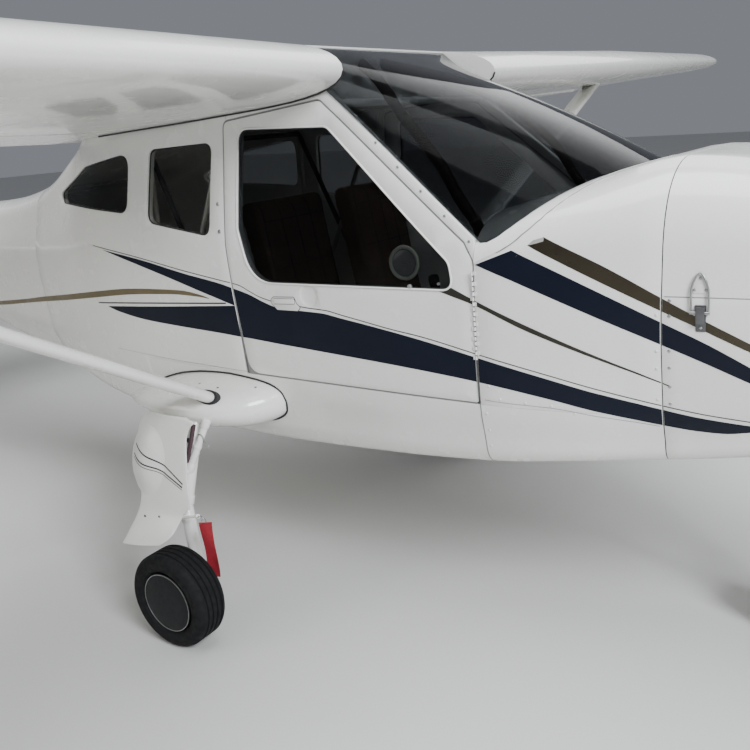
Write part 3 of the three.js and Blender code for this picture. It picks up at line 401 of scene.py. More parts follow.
def grown(rows, distance):
    """An outline moved outwards by a distance, or inwards by a negative one."""
    area = sum(rows[i - 1][0] * r[1] - r[0] * rows[i - 1][1] for i, r in enumerate(rows))
    turn = 1 if area > 0 else -1
    result = []
    for i, (x, z, radius) in enumerate(rows):
        a = (Vector((x, z)) - Vector(rows[i - 1][:2])).normalized()
        b = (Vector(rows[(i + 1) % len(rows)][:2]) - Vector((x, z))).normalized()
        na, nb = Vector((a.y, -a.x)) * turn, Vector((b.y, -b.x)) * turn
        miter = (na + nb).normalized()
        miter *= distance / miter.dot(na)
        result.append((x + miter.x, z + miter.y, max(radius + distance, 1) if radius else 0))
    return result


# Fuselage
# Columns: x, z of bottom, low, seam, belt, shoulder, top, then half widths at the same six heights
DECK_ROWS = [
    (2232, 985, 1010, 1040, 1150, 1215, 1285, 90, 140, 168, 205, 195, 85),
    (2215, 958, 988, 1025, 1150, 1225, 1308, 105, 163, 195, 236, 226, 100),
    (2130, 880, 925, 985, 1152, 1250, 1368, 160, 228, 268, 312, 302, 140),
    (1950, 790, 855, 935, 1156, 1272, 1425, 235, 308, 352, 396, 388, 190),
    (1700, 714, 785, 880, 1162, 1290, 1475, 290, 366, 408, 452, 450, 230),
    (1432, 668, 738, 838, 1165, 1300, 1505, 320, 402, 437, 485, 486, 250),
    (1180, 640, 720, 832, 1170, 1285, 1445, 370, 466, 502, 525, 523, 280),
    (934, 612, 700, 828, 1175, 1255, 1375, 405, 502, 532, 549, 548, 300),
    (600, 588, 690, 828, 1175, 1230, 1320, 425, 510, 540, 551, 550, 320),
]
CABIN_ROWS = [
    (1180, 640, 720, 832, 1170, 1660, 1800, 370, 466, 502, 525, 475, 440),
    (934, 612, 700, 828, 1175, 1660, 1800, 405, 502, 532, 549, 499, 440),
    (600, 588, 690, 828, 1175, 1660, 1800, 425, 510, 540, 551, 501, 440),
    (100, 565, 680, 828, 1175, 1660, 1800, 425, 510, 541, 551, 501, 440),
    (-300, 562, 680, 828, 1175, 1655, 1800, 415, 500, 532, 544, 495, 430),
    (-640, 580, 690, 828, 1175, 1640, 1800, 390, 475, 508, 524, 477, 400),
    (-890, 608, 712, 832, 1175, 1530, 1640, 355, 440, 474, 494, 430, 280),
    (-1250, 672, 765, 865, 1172, 1372, 1478, 270, 360, 395, 415, 372, 190),
    (-1700, 752, 830, 915, 1165, 1315, 1402, 205, 278, 306, 322, 287, 140),
    (-2400, 880, 940, 1000, 1165, 1280, 1358, 135, 186, 205, 214, 190, 90),
    (-3100, 1010, 1050, 1090, 1185, 1272, 1335, 62, 92, 105, 111, 99, 48),
    (-3500, 1085, 1112, 1138, 1202, 1270, 1320, 27, 44, 51, 55, 49, 24),
]
deck_at = smooth_rows(DECK_ROWS)
cabin_at = smooth_rows(CABIN_ROWS)
CABIN_WALL, BOOM_WALL, COWL_WALL = 30, 12, 10
COWL_FRONT_X, COWL_REAR_X, FIREWALL_X, DOOR_HINGE_X = 2232, 1434, 1431, 934
CABIN_REAR_X, BOOM_FRONT_X, BOOM_HOLLOW_REAR_X, BOOM_REAR_X = -1250, -1250.3, -3350, -3500
BELLY_REAR_X, REAR_CABIN_FRONT_X = -500, 20
SEAM_Z, COWL_SPLIT_Z = 828, 1169
GAP, MOVING_GAP = 0.3, 6


def fuselage_ring(at, x, inset=0, reach=0):
    bottom_z, low_z, seam_z, belt_z, shoulder_z, top_z, *widths = at(x)
    bottom, low, seam, belt, shoulder, top = [w - inset for w in widths]
    under, over = bottom_z + inset, top_z - inset
    side = smooth_rows([(low_z, low), (seam_z, seam), (belt_z, belt), (shoulder_z, shoulder)])
    half = [(bottom * k / 3, under) for k in range(3)]
    half += curve_points((bottom, under), (low - 0.12 * (low - bottom), under), (low, low_z), 8)
    half += [(float(side(z)[0]), z) for z in np.linspace(low_z, shoulder_z, 19)[1:-1]]
    half += curve_points((shoulder, shoulder_z), (shoulder - 0.06 * (shoulder - top), over - 6), (top, over),
                         10)
    half += [(top * k / 3, over) for k in (2, 1, 0)]
    ring = half + [(-y, z) for y, z in half[-2:0:-1]]
    return [(x + reach, y, z) for y, z in ring]


def body_of_sections(at, x0, x1, inset=0, reach=0, step=60):
    """The outside of the fuselage between two stations, or its inside with an inset."""
    count = max(2, round(abs(x1 - x0) / step) + 1)
    rings = [fuselage_ring(at, x, inset) for x in np.linspace(x0, x1, count)]
    if reach:
        way = 1 if x0 > x1 else -1
        rings = [fuselage_ring(at, x0, inset, way * reach), *rings,
                 fuselage_ring(at, x1, inset, -way * reach)]
    return loft(rings)


def shell(at, x0, x1, outer, inner, reach=40):
    """The wall of the fuselage between two depths below its skin, open at both ends."""
    return carved(body_of_sections(at, x0, x1, outer), [body_of_sections(at, x0, x1, inner, reach)])


def surface_of(mesh):
    bm = bmesh.new()
    bm.from_mesh(mesh)
    tree = BVHTree.FromBMesh(bm)
    bm.free()
    return tree


cabin_outer = body_of_sections(cabin_at, DOOR_HINGE_X, CABIN_REAR_X)
deck_outer = body_of_sections(deck_at, FIREWALL_X, DOOR_HINGE_X)
boom_outer = body_of_sections(cabin_at, BOOM_FRONT_X, BOOM_REAR_X, step=90)
cowl_outer = body_of_sections(deck_at, COWL_FRONT_X, COWL_REAR_X, step=40)
cabin_shell = shell(cabin_at, DOOR_HINGE_X, CABIN_REAR_X, 0, CABIN_WALL)
deck_shell = shell(deck_at, FIREWALL_X, DOOR_HINGE_X, 0, CABIN_WALL)
skin = {"cabin": surface_of(cabin_outer), "deck": surface_of(deck_outer), "boom": surface_of(boom_outer),
        "cowl": surface_of(cowl_outer)}


def skin_name(x):
    if x > (FIREWALL_X + COWL_REAR_X) / 2:
        return "cowl"
    if x > DOOR_HINGE_X:
        return "deck"
    return "cabin" if x > CABIN_REAR_X else "boom"


def on_skin(x, z, side, lift=0.0):
    """The point of the outer skin at x, z on one side, and its normal."""
    start = to_frame((x, side * 1000, z))
    point, normal, _, _ = skin[skin_name(x)].ray_cast(start, Vector((0, -side, 0)))
    if point is None:
        raise ValueError(f"no skin at {x:.0f}, {z:.0f}")
    if normal.y * side < 0:
        normal = -normal
    return from_frame(point) + normal * lift, normal


def skin_points(places, side, lift=0.0):
    return [on_skin(x, z, side, lift)[0] for x, z in places]


# Wing section
AIRFOIL_STEPS = 24


def airfoil_height(t, thickness, camber, side):
    half = 5 * thickness * (0.2969 * math.sqrt(t) - 0.126 * t - 0.3516 * t**2 + 0.2843 * t**3 - 0.1015 * t**4)
    line = (camber / 0.16 * (0.8 * t - t * t) if t < 0.4 else camber / 0.36 * (0.2 + 0.8 * t - t * t))
    return line + side * half


def airfoil(chord, thickness, camber, steps=AIRFOIL_STEPS):
    """Points (back, up) from the trailing edge over the top to the nose and back along the underside."""
    ring = []
    for i in range(-steps, steps + 1):
        t = (1 - math.cos(abs(i) / steps * math.pi)) / 2
        ring.append((t * chord, airfoil_height(t, thickness, camber, 1 if i < 0 else -1) * chord))
    return ring


WING_LE = (505, 1793)
WING_CHORD, WING_THICKNESS, WING_TIP_THICKNESS, WING_CAMBER = 1400, 0.135, 0.1, 0.035
INCIDENCE, DIHEDRAL = math.radians(6.2), math.radians(1.4)
WING_ROOT_Y, WING_SPAN, TIP_LENGTH, TIP_NOSE_RECESS = 502, 4350 - 502, 330, 0.3
WING_CENTER_HALF, WING_CENTER_FRONT_X = 498, 280
FLAP_SPAN, AILERON_SPAN = (60, 1890), (1910, 3400)
CONTROL_GAP, CONTROL_HINGE_SHARE = 8, 0.735


def in_wing_place(back, up):
    c, s = math.cos(INCIDENCE), math.sin(INCIDENCE)
    return WING_LE[0] - back * c + up * s, WING_LE[1] - back * s + up * c


root_ring = [in_wing_place(*p) for p in airfoil(WING_CHORD, WING_THICKNESS, WING_CAMBER)]
root_underside = root_ring[AIRFOIL_STEPS:]
above_wing_underside = prism(
    [(x, z - GAP) for x, z in root_underside] + [(-950, 2100), (545, 2100), (545, 1792.7)], -700, 700)

# Doors and windows in the side view; columns: x, z, corner radius
DOOR = [(928, 834, 8), (928, 1250, 0), (900, 1302, 0), (404, 1714, 30), (10, 1672, 25), (2, 1280, 0),
        (45, 834, 55)]
DOOR_WINDOW = [(866, 1168, 58), (854, 1246, 50), (428, 1638, 45), (70, 1648, 45), (57, 1330, 60),
               (108, 1156, 130)]
QUARTER_WINDOW = [(-48, 1612, 34), (-72, 1302, 40), (-392, 1346, 40), (-362, 1600, 34)]
REAR_WINDOW = [(-474, 1594, 50), (-500, 1376, 50), (-985, 1408, 60), (-1000, 1448, 30), (-780, 1548, 60)]
WINDOWS = {"door_window": (DOOR_WINDOW, "door", TINTED),
           "quarter_window": (QUARTER_WINDOW, "airframe", CLEAR),
           "rear_window": (REAR_WINDOW, "airframe", CLEAR)}
FRAME_OUTLINE = [(933.6, 1240), (933.6, 1313), (449, 1727), (340, 1820), (22, 1820), (22, 1600), (300, 1600)]
FRAME_TUBE_X, FRAME_TUBE_Z = 457, 1702
PANE_INSET, PANE_THICKNESS = 9, 6
SCOOP_AT, SCOOP_RADIUS, SCOOP_DEPTH = (342, 1124), 36, 4.2
STABILATOR_X, STABILATOR_Z = -3296, 1205


def through_side(outline, side):
    return prism(outline, side * 200, side * 800)


def side_hole(outline, distance=0.0, side=1):
    return through_side(rounded(grown(outline, distance) if distance else outline), side)


def door_skin(side):
    """A door with its window's hole and the finger hollow ahead of its handle."""
    at, out = on_skin(*SCOOP_AT, side, 0.6)
    scoop = dome(at, -out, SCOOP_RADIUS, SCOOP_DEPTH, 48)
    return carved(cabin_shell, [side_hole(DOOR_WINDOW, 0, side), scoop], side_hole(DOOR, 0, side))


pane_sheet = shell(cabin_at, DOOR_HINGE_X, CABIN_REAR_X, PANE_INSET, PANE_INSET + PANE_THICKNESS)
pair(door_skin, "door_skin", WHITE, "door", "door", "white_paint", bevel=1.5)
for window, (outline, part, glass) in WINDOWS.items():
    pair(lambda side: carved(pane_sheet, [above_wing_underside], side_hole(outline, -GAP, side)),
         f"{window}_glass", glass, part, window, "tinted_pane")

door_holes = {side: side_hole(DOOR, MOVING_GAP, side) for side in SIDES.values()}
frame_sides = [carved(cabin_shell, [above_wing_underside, hole], through_side(FRAME_OUTLINE, side))
               for side, hole in door_holes.items()]
frame_tube = bar((FRAME_TUBE_X, -478, FRAME_TUBE_Z), (FRAME_TUBE_X, 478, FRAME_TUBE_Z), 12)
place(together(*frame_sides, frame_tube), "windscreen_frame_skin", WHITE, replaces=["windscreen_frame"],
      slot="white_paint", bevel=1)

rear_holes = [side_hole(outline, 0, side) for outline in (QUARTER_WINDOW, REAR_WINDOW)
              for side in SIDES.values()]
rear = carved(cabin_shell, [*door_holes.values(), slab(REAR_CABIN_FRONT_X, 1100),
                            slab(BELLY_REAR_X - GAP, 1100, z1=SEAM_Z + GAP),
                            above_wing_underside, *rear_holes])
place(rear, "rear_cabin_skin", WHITE, replaces=["rear_cabin"], slot="white_paint", bevel=1.5)
tub = slab(BELLY_REAR_X, FIREWALL_X + 10, z1=SEAM_Z)
place(together(carved(cabin_shell, [], tub), carved(deck_shell, [], tub)), "belly_skin", WHITE,
      replaces=["belly_panel"], slot="white_paint")
place(carved(deck_shell, [], slab(DOOR_HINGE_X + GAP, FIREWALL_X + 10, SEAM_Z + GAP)), "forward_skin", WHITE,
      replaces=["forward_fuselage"], slot="white_paint", bevel=1)
stabilator_bore = bar((STABILATOR_X, -200, STABILATOR_Z), (STABILATOR_X, 200, STABILATOR_Z), 28, 40)
boom = carved(boom_outer, [body_of_sections(cabin_at, BOOM_FRONT_X, BOOM_HOLLOW_REAR_X, BOOM_WALL, 0, 90),
                           stabilator_bore])
place(boom, "tail_boom_skin", WHITE, replaces=["tail_boom"], slot="white_paint")


# Windscreen
def windscreen_point(s, v, inset=0.0):
    """On the ruling at s, from -1 at starboard to 1 at port, a share v of the way from deck to wing."""
    a = abs(s)
    base_x = 986 + 364 * (1 - a**3) ** 0.6
    base_z = 1279 + 151 * (1 - a**2.4)
    crown = 22 * math.sin(math.pi * v) * (1 - a**4)
    half_width = 499 + 37 * max(0, 1 - v / 0.6)
    return (base_x + (282 - base_x) * v + crown - inset * 0.65, s * half_width,
            base_z + (1880 - base_z) * v + crown - inset * 0.76)


SCREEN_THICKNESS = 6
screen_rings = []
for i in range(61):
    s = -math.cos(i / 60 * math.pi)
    outer = [windscreen_point(s, j / 20) for j in range(21)]
    screen_rings.append(outer + [windscreen_point(s, j / 20, SCREEN_THICKNESS) for j in range(20, -1, -1)])
screen = carved(loft(screen_rings), [deck_outer], slab(WING_CENTER_FRONT_X + GAP, 1500, 1200, 2000))
place(screen, "windscreen_glass", TINTED, replaces=["windscreen"], slot="tinted_pane")

# Engine cowl with its openings: shaft, two air inlets, lower scoop, outlets and exhaust
INLET_Y, PROP_Z = 118, 1150
cowl = carved(cowl_outer, [
    body_of_sections(deck_at, COWL_FRONT_X - COWL_WALL, COWL_REAR_X, COWL_WALL, 0, 40),
    bar((2150, 0, PROP_Z), (2300, 0, PROP_Z), 62, 48),
    bar((2150, INLET_Y, PROP_Z), (2300, INLET_Y, PROP_Z), 48, 48),
    bar((2150, -INLET_Y, PROP_Z), (2300, -INLET_Y, PROP_Z), 48, 48),
    bar((2080, 0, 985), (2300, 0, 1015), 42, 48),
    block(1660, 2010, -95, 95, 600, 900), block(1380, 1560, -190, 190, 600, 720),
    bar((1740, 150, 793), (1560, 150, 568), 34, 32), body_of_sections(deck_at, 1500, 1400, COWL_WALL, 0, 40)])
for part, z0, z1 in (("upper", COWL_SPLIT_Z + GAP, 1700), ("lower", 500, COWL_SPLIT_Z - GAP)):
    place(carved(cowl, [], slab(1400, 2400, z0, z1)), f"cowl_{part}_skin", WHITE, replaces=[f"cowl_{part}"],
          slot="white_paint", bevel=1)

# Wings
TIP_ROWS = [(0, 1), (0.35, 0.965), (0.62, 0.86), (0.82, 0.7), (0.94, 0.52), (1, 0.34)]
TIP_STATIONS = (0, 0.15, 0.3, 0.45, 0.58, 0.7, 0.8, 0.88, 0.94, 0.98, 1)
tip_scale = smooth_rows(TIP_ROWS)


def wing_ring(y, scale, thickness):
    recess = (1 - scale) * WING_CHORD * TIP_NOSE_RECESS
    section = airfoil(WING_CHORD * scale, thickness * (0.25 + 0.75 * scale), WING_CAMBER)
    return [(x, y, z) for x, z in (in_wing_place(back + recess, up) for back, up in section)]


hinge_top, hinge_under = [airfoil_height(CONTROL_HINGE_SHARE, WING_THICKNESS, WING_CAMBER, s) * WING_CHORD
                          for s in (1, -1)]
HINGE_RADIUS = (hinge_top - hinge_under) / 2 - 1
HINGE_X, HINGE_Z = in_wing_place(WING_CHORD * CONTROL_HINGE_SHARE, (hinge_top + hinge_under) / 2)
wing_turn = Matrix.Translation((
    0, (WING_ROOT_Y + WING_LE[1] * math.sin(DIHEDRAL)) * MM, WING_LE[1] * (1 - math.cos(DIHEDRAL)) * MM
)) @ Matrix.Rotation(DIHEDRAL, 4, "X")


def behind_hinge(y0, y1):
    return block(HINGE_X - 600, HINGE_X, y0, y1, HINGE_Z - 400, HINGE_Z + 400)


def hinge_roller(y0, y1, radius):
    return bar((HINGE_X, y0, HINGE_Z), (HINGE_X, y1, HINGE_Z), radius, 64)


wing_whole = loft([wing_ring(y, 1, WING_THICKNESS) for y in (0, FLAP_SPAN[1])] + [
    wing_ring(WING_SPAN - TIP_LENGTH * (1 - t), float(tip_scale(t)[0]), WING_TIP_THICKNESS)
    for t in TIP_STATIONS])
wing_cuts = []
controls = {}
for part, (y0, y1) in (("flap", FLAP_SPAN), ("aileron", AILERON_SPAN)):
    wing_cuts += [behind_hinge(y0 - MOVING_GAP, y1 + MOVING_GAP),
                  hinge_roller(y0 - MOVING_GAP, y1 + MOVING_GAP, HINGE_RADIUS + CONTROL_GAP)]
    front_half = block(HINGE_X, HINGE_X + 100, y0 - 10, y1 + 10, HINGE_Z - 200, HINGE_Z + 200)
    controls[part] = together(carved(wing_whole, [], behind_hinge(y0, y1)),
                              carved(hinge_roller(y0, y1, HINGE_RADIUS), [], front_half))
for part, mesh in {"wing": carved(wing_whole, wing_cuts), **controls}.items():
    mesh.transform(wing_turn)
    pair(mesh, f"{part}_skin", WHITE, "airframe" if part == "wing" else part, part, "white_paint", angle=50)
wing_center = carved(prism(root_ring, -WING_CENTER_HALF, WING_CENTER_HALF), [],
                     slab(-1200, WING_CENTER_FRONT_X))
place(wing_center, "wing_center_skin", WHITE, replaces=["wing_center"], slot="white_paint", angle=50)

# Sponsons; columns: x, outer y, half height, centre z
SPONSON_ROWS = [
    (176, 528, 8, 736), (169, 560, 34, 735), (142, 616, 57, 733), (98, 672, 72, 730), (30, 722, 80, 730),
    (-60, 752, 84, 731), (-180, 764, 76, 733), (-300, 744, 56, 735), (-400, 702, 34, 728),
    (-470, 652, 13, 722),
]
SPONSON_STATIONS = (176, 174.5, 172, 169, 163, 154, 142, 122, 98, 64, 30, -15, -60, -110, -160, -210, -260,
                    -310, -350, -390, -420, -445, -462, -470)
SPONSON_ROOT_Y = 500
sponson_at = smooth_rows(SPONSON_ROWS)


def sponson_ring(x):
    outer_y, half_height, centre_z = sponson_at(x)
    ring = []
    for t in turns(48):
        reach = math.copysign(abs(math.cos(t)) ** 0.8, math.cos(t))
        ring.append((x, SPONSON_ROOT_Y + (outer_y - SPONSON_ROOT_Y) * reach,
                     centre_z + half_height * math.sin(t)))
    return ring


sponson_rings = [sponson_ring(x) for x in SPONSON_STATIONS]
sponson = carved(loft(sponson_rings), [cabin_outer])
sponson_skin = surface_of(sponson)
pair(sponson, "sponson_skin", WHITE, node="sponson", slot="white_paint", angle=45)

# Struts
STRUT_FOOT, STRUT_HEAD = Vector((-22, 690, 778)), Vector((180, 2540, 1790))
STRUT_CHORD, STRUT_THICKNESS = 100, 40
COLLAR_SCALE, COLLAR_HEIGHT = 1.28, 22
along = (STRUT_HEAD - STRUT_FOOT).normalized()
forward = (FORWARD - along * along.x).normalized()
upward = forward.cross(along).normalized()


def strut_section(centre, scale=1.0):
    return [centre + forward * (STRUT_CHORD * 0.4 - back) * scale + upward * rise * scale
            for back, rise in airfoil(STRUT_CHORD, STRUT_THICKNESS / STRUT_CHORD, 0, 16)]


wing_placed = wing_whole.copy()
wing_placed.transform(wing_turn)
strut = carved(loft([strut_section(STRUT_FOOT), strut_section(STRUT_HEAD)]), [sponson, wing_placed])
collar = carved(loft([strut_section(STRUT_FOOT + along * h, COLLAR_SCALE) for h in (0, COLLAR_HEIGHT)]),
                [sponson])
pair(strut, "strut_fairing", WHITE, node="strut", slot="white_metal", angle=50)
pair(collar, "strut_seal", SEAL_AND_GAP_SHADE, angle=50)

# Wheels: radius, width, rim radius
MAIN_TYRE, NOSE_TYRE = (167, 124, 104), (150, 100, 82)
FACET = math.cos(math.pi / 36)
MAIN_AXLE, NOSE_AXLE = (0, 960, 167 * FACET), (1790, 0, 150 * FACET)
GROOVES = (0.5, 0.17, -0.17, -0.5)


def tyre_profile(radius, rim_radius):
    """A ribbed tyre that keeps inside its stated radius at the flat it stands on; heights in half widths."""
    radius *= FACET
    wall = radius - rim_radius
    side = [(rim_radius, 0.62), (rim_radius + 2, 0.74), (rim_radius + 8, 0.86),
            (rim_radius + 0.2 * wall, 0.95), (rim_radius + 0.4 * wall, 1.0),
            (rim_radius + 0.58 * wall, 0.995), (rim_radius + 0.6 * wall, 1.0),
            (rim_radius + 0.64 * wall, 1.0), (rim_radius + 0.66 * wall, 0.985),
            (rim_radius + 0.78 * wall, 0.93), (radius - 8, 0.84), (radius - 3.5, 0.74), (radius - 1.2, 0.66)]
    tread = []
    for centre in GROOVES:
        tread += [(radius - 0.6, centre + 0.075), (radius - 5.5, centre + 0.05),
                  (radius - 5.5, centre - 0.05), (radius - 0.6, centre - 0.075)]
    inside = [(rim_radius - 3, -0.5), (rim_radius - 3, 0.5)]
    return side + tread + [(r, -f) for r, f in reversed(side)] + inside


def wheel(name, kind, centre, body, nodes, outer_side, covered=False):
    """A ribbed tyre on a turned rim, with a flush cover on its outer side or else with bolts and a valve."""
    radius, width, rim_radius = kind
    half = width / 2
    edge = rim_radius - GAP
    outward = TO_PORT * outer_side

    def spun(profile):
        return turned([(r, share * half) for r, share in profile], centre, outward, 96)

    place(spun(tyre_profile(radius, rim_radius)), f"{name}_tyre_ribbed", TYRE, body, [nodes[0]],
          "black_tyre", angle=30)
    if covered:
        rim = [(0.3, 0.6), (15.5, 0.6), (15.5, -0.5), (edge, -0.6), (edge, 0.8), (edge - 0.8, 0.85),
               (edge - 3, 0.89), (edge - 6, 0.9), (rim_radius * 0.8, 0.925), (rim_radius * 0.55, 0.94),
               (rim_radius * 0.25, 0.948), (0.3, 0.95)]
        line_radius, low, high = edge - 1.5, 0.84, 0.9
    else:
        rim = [(15.5, -0.5), (edge, -0.6), (edge, 0.6), (edge + 5, 0.66), (edge + 1, 0.7), (edge - 7, 0.66),
               (edge - 9, 0.5), (edge - 14, 0.42), (62, 0.36), (46, 0.37), (42, 0.55), (40, 0.6), (30, 0.62),
               (15.5, 0.62)]
        line_radius, low, high = rim_radius * 0.89, 0.4, 0.45
    inner_ring = [(edge, -0.6), (edge + 3, -0.68), (edge - 6, -0.68), (edge - 9, -0.6)]
    place(together(spun(rim), spun(inner_ring)), f"{name}_rim_disc", RIM, body, [nodes[1]], "dark_rim",
          angle=30)
    raised = high + 0.8 / half
    line = [(line_radius, low), (line_radius, raised), (line_radius - 2, raised), (line_radius - 2, low)]
    place(spun(line), f"{name}_rim_line", STEEL, body)
    if covered:
        return
    bolts = []
    for t in turns(9):
        at = Vector(centre) + Vector((54 * math.cos(t), 0, 54 * math.sin(t)))
        bolts.append(bar(at + outward * 0.3 * half, at + outward * (0.36 * half + 4), 4.5, 6))
    place(together(*bolts), f"{name}_rim_bolts", DARK_STEEL, body, bevel=0.6)
    valve_at = Vector(centre) + outward * 0.36 * half + UP * rim_radius * 0.73
    place(bar(valve_at, valve_at + outward * 15 + UP * 2, 3.2, 12), f"{name}_valve", SEAL_AND_GAP_SHADE, body)


for side_name, side in SIDES.items():
    wheel(f"main_{side_name}", MAIN_TYRE, (0, MAIN_AXLE[1] * side, MAIN_AXLE[2]), f"main_wheel_{side_name}",
          [f"main_tyre_{side_name}", f"main_rim_{side_name}"], side, covered=True)
wheel("nose", NOSE_TYRE, NOSE_AXLE, "nose_wheel", ["nose_tyre", "nose_rim"], 1)

# Main legs with their axles, the slanted brace, its lug and hose, and the locking pin with its tag
LEG_TOP, LEG_KNEE = Vector((-70, 712, 720)), Vector((-64, 818, 430))
LEG_FOOT = Vector((10, 862, MAIN_AXLE[2]))
LEG_UPPER_RADIUS, LEG_LOWER_RADIUS, AXLE_ENDS = 25, 23, (846, 990)
BRACE_ENDS = (Vector((-4, 726, 716)), Vector((-58, 790, 540)))
LUG_BOLTS = [(-66, 690), (-58, 646)]
PIN_START, PIN_END = Vector((-33, 866, 404)), Vector((50, 872, 429))


def part_way(a, b, share):
    return Vector(a) + (Vector(b) - Vector(a)) * share


def sleeve(a, b, start, end, radius, sides=32):
    return bar(part_way(a, b, start), part_way(a, b, end), radius, sides)


def cross_bar(x, z, y0, y1, radius, sides):
    return bar((x, y0, z), (x, y1, z), radius, sides)


leg = together(
    bar(LEG_TOP, LEG_KNEE, LEG_UPPER_RADIUS, 40), bar(LEG_KNEE, LEG_FOOT, LEG_LOWER_RADIUS, 32),
    sleeve(LEG_TOP, LEG_KNEE, 0.9, 1.0, LEG_UPPER_RADIUS + 3, 40),
    sleeve(LEG_TOP, LEG_KNEE, 0.4, 0.45, LEG_UPPER_RADIUS + 2, 40),
    sleeve(LEG_KNEE, LEG_FOOT, 0.74, 0.96, LEG_LOWER_RADIUS + 4),
    sleeve(LEG_KNEE, LEG_FOOT, 0.16, 0.22, LEG_LOWER_RADIUS + 3),
    cross_bar(0, MAIN_AXLE[2], *AXLE_ENDS, 14, 24), cross_bar(0, MAIN_AXLE[2], 858, 892, 30, 32))
brace = together(
    bar(*BRACE_ENDS, 13, 24), sleeve(*BRACE_ENDS, 0.02, 0.16, 16), sleeve(*BRACE_ENDS, 0.5, 0.56, 15),
    sleeve(*BRACE_ENDS, 0.86, 1.0, 17), cross_bar(-58, 542, 774, 808, 12, 20))
lug_outline = rounded([(-82, 712, 6), (-34, 712, 6), (-36, 652, 12), (-54, 622, 14), (-78, 640, 12)])
lug = carved(prism(lug_outline, 764, 773), [cross_bar(-53, 684, 700, 800, 5.5, 20)])
lug_bolts = together(*[cross_bar(x, z, 771, 779, 6.5, 6) for x, z in LUG_BOLTS],
                     *[cross_bar(x, z, 771, 774.5, 9.5, 24) for x, z in LUG_BOLTS])
hose = tube_along(curve_points((-26, 770, 706), (-34, 788, 640), (-66, 792, 560), 18), 7.5, 14)
hook = tube_along([(-18 + 9 * math.cos(t), 752 + 3 * t, 653 + 15 * math.sin(t))
                   for t in (k * math.pi / 8 for k in range(-3, 11))], 2.6, 8)
lock_wire = tube_along([(-8 + 16 * t, 744 + 6 * math.sin(9 * t), 632 - 16 * t + 5 * math.cos(12 * t))
                        for t in (k / 12 for k in range(13))], 1.3, 6)
pin = together(bar(PIN_START, PIN_END, 5, 20), sleeve(PIN_START, PIN_END, 0.86, 0.98, 8, 20),
               bar((-60, 836, 392), PIN_START, 7, 16))
clip_turns = tube_along([(52 + 34 * t, 872 + 5 * math.cos(14 * t), 427 - 14 * t + 7 * math.sin(14 * t))
                         for t in (k / 40 for k in range(41))], 1.6, 8)
TAG_WIDTH, TAG_LENGTH, TAG_TOP = 44, 196, Vector((84, 878, 414))


def tag_ribbon():
    """A woven ribbon that hangs from the pin, turned and curled a little; its rows keep their spacing."""
    across_steps, down_steps = 8, 36
    rings = []
    centre = TAG_TOP.copy()
    for k in range(down_steps + 1):
        t = k / down_steps
        turn = math.radians(-30 + 22 * math.sin(3.4 * t))
        wide = Vector((math.cos(turn), math.sin(turn), 0.12 * math.cos(3 * t)))
        face = Vector((-math.sin(turn), math.cos(turn), 0))
        row = []
        for j in range(across_steps + 1):
            u = j / across_steps - 0.5
            curl = 3.2 * math.sin(math.pi * (u + 0.5)) * math.sin(5.5 * t + 0.6)
            row.append(centre + wide * TAG_WIDTH * u + face * curl)
        rings.append([p + face * 0.5 for p in row] + [p - face * 0.5 for p in row[::-1]])
        sway = 0.24 * math.sin(4.4 * t) - 0.02
        centre = centre + Vector((sway * 0.9, sway * 0.3, -1)).normalized() * TAG_LENGTH / down_steps
    return loft(rings)


pair(leg, "main_leg_tube", WHITE_METAL, node="main_leg", slot="white_metal", bevel=1)
pair(brace, "leg_brace", WHITE_METAL, bevel=0.8)
pair(lug, "leg_lug", WHITE_METAL, bevel=0.8)
pair(lug_bolts, "leg_lug_bolts", DARK_STEEL, bevel=0.6)
pair(hose, "leg_hose", HOSE)
pair(together(hook, lock_wire), "leg_hook", STEEL)
pair(pin, "lock_pin", WHITE_METAL, bevel=0.6)
pair(clip_turns, "lock_pin_clip", STEEL)
tag_hem = tube_along([TAG_TOP + Vector((x, y, 1)) for x, y in ((-19, 11), (-6, 4), (7, -4), (19, -11))],
                     2.4, 8)
hems = pair(tag_hem, "pin_tag_hem", RED)
ribbons = pair(tag_ribbon(), "pin_tag", RED, angle=60)

# Panel that hangs outboard of the leg; columns: z, how much lower the rear edge is, rear x, front x, y
PANEL_ROWS = [
    (738, 0, -205, -36, 778), (722, 0, -245, -4, 780), (704, 0, -255, -20, 784), (660, 0, -270, -34, 793),
    (560, 0, -286, -24, 817), (520, 0, -278, -18, 827), (495, 0, -251, -9, 834), (445, 0, -238, 1, 846),
    (412, 0, -240, -30, 856), (378, 5, -242, -38, 882), (354, 18, -250, -42, 912), (342, 36, -246, -52, 950),
]
PANEL_OUT, PANEL_THICKNESS = 22, 6
BLISTER_X, BLISTER_Z, BLISTER_HALF_X, BLISTER_HALF_Z, BLISTER_HEIGHT = -206, 572, 88, 122, 24
PANEL_LINES = {
    # x and z along each line, then its width and material
    "upper": ([(-266, 622), (-200, 598), (-146, 581), (-94, 553), (-36, 517)], 4.5, SEAL_AND_GAP_SHADE),
    "lower": ([(-273, 588), (-215, 570), (-151, 558), (-106, 538), (-36, 507)], 4.5, SEAL_AND_GAP_SHADE),
    "thin": ([(-273, 577), (-215, 559), (-151, 548), (-106, 529), (-36, 499)], 2, DARK_LINE),
}
PANEL_SCREWS = [(-193, 388), (-126, 397)]
panel_at = smooth_rows(PANEL_ROWS)


def bow(part):
    """How far the panel bulges outwards at a share of its width."""
    return 3 - 36 * (part - 0.5) ** 2


def panel_point(z, part, depth=0.0):
    drop, rear, front, y = panel_at(z)
    return (rear + (front - rear) * part, y + PANEL_OUT + bow(part) - depth, z - drop * (1 - part))


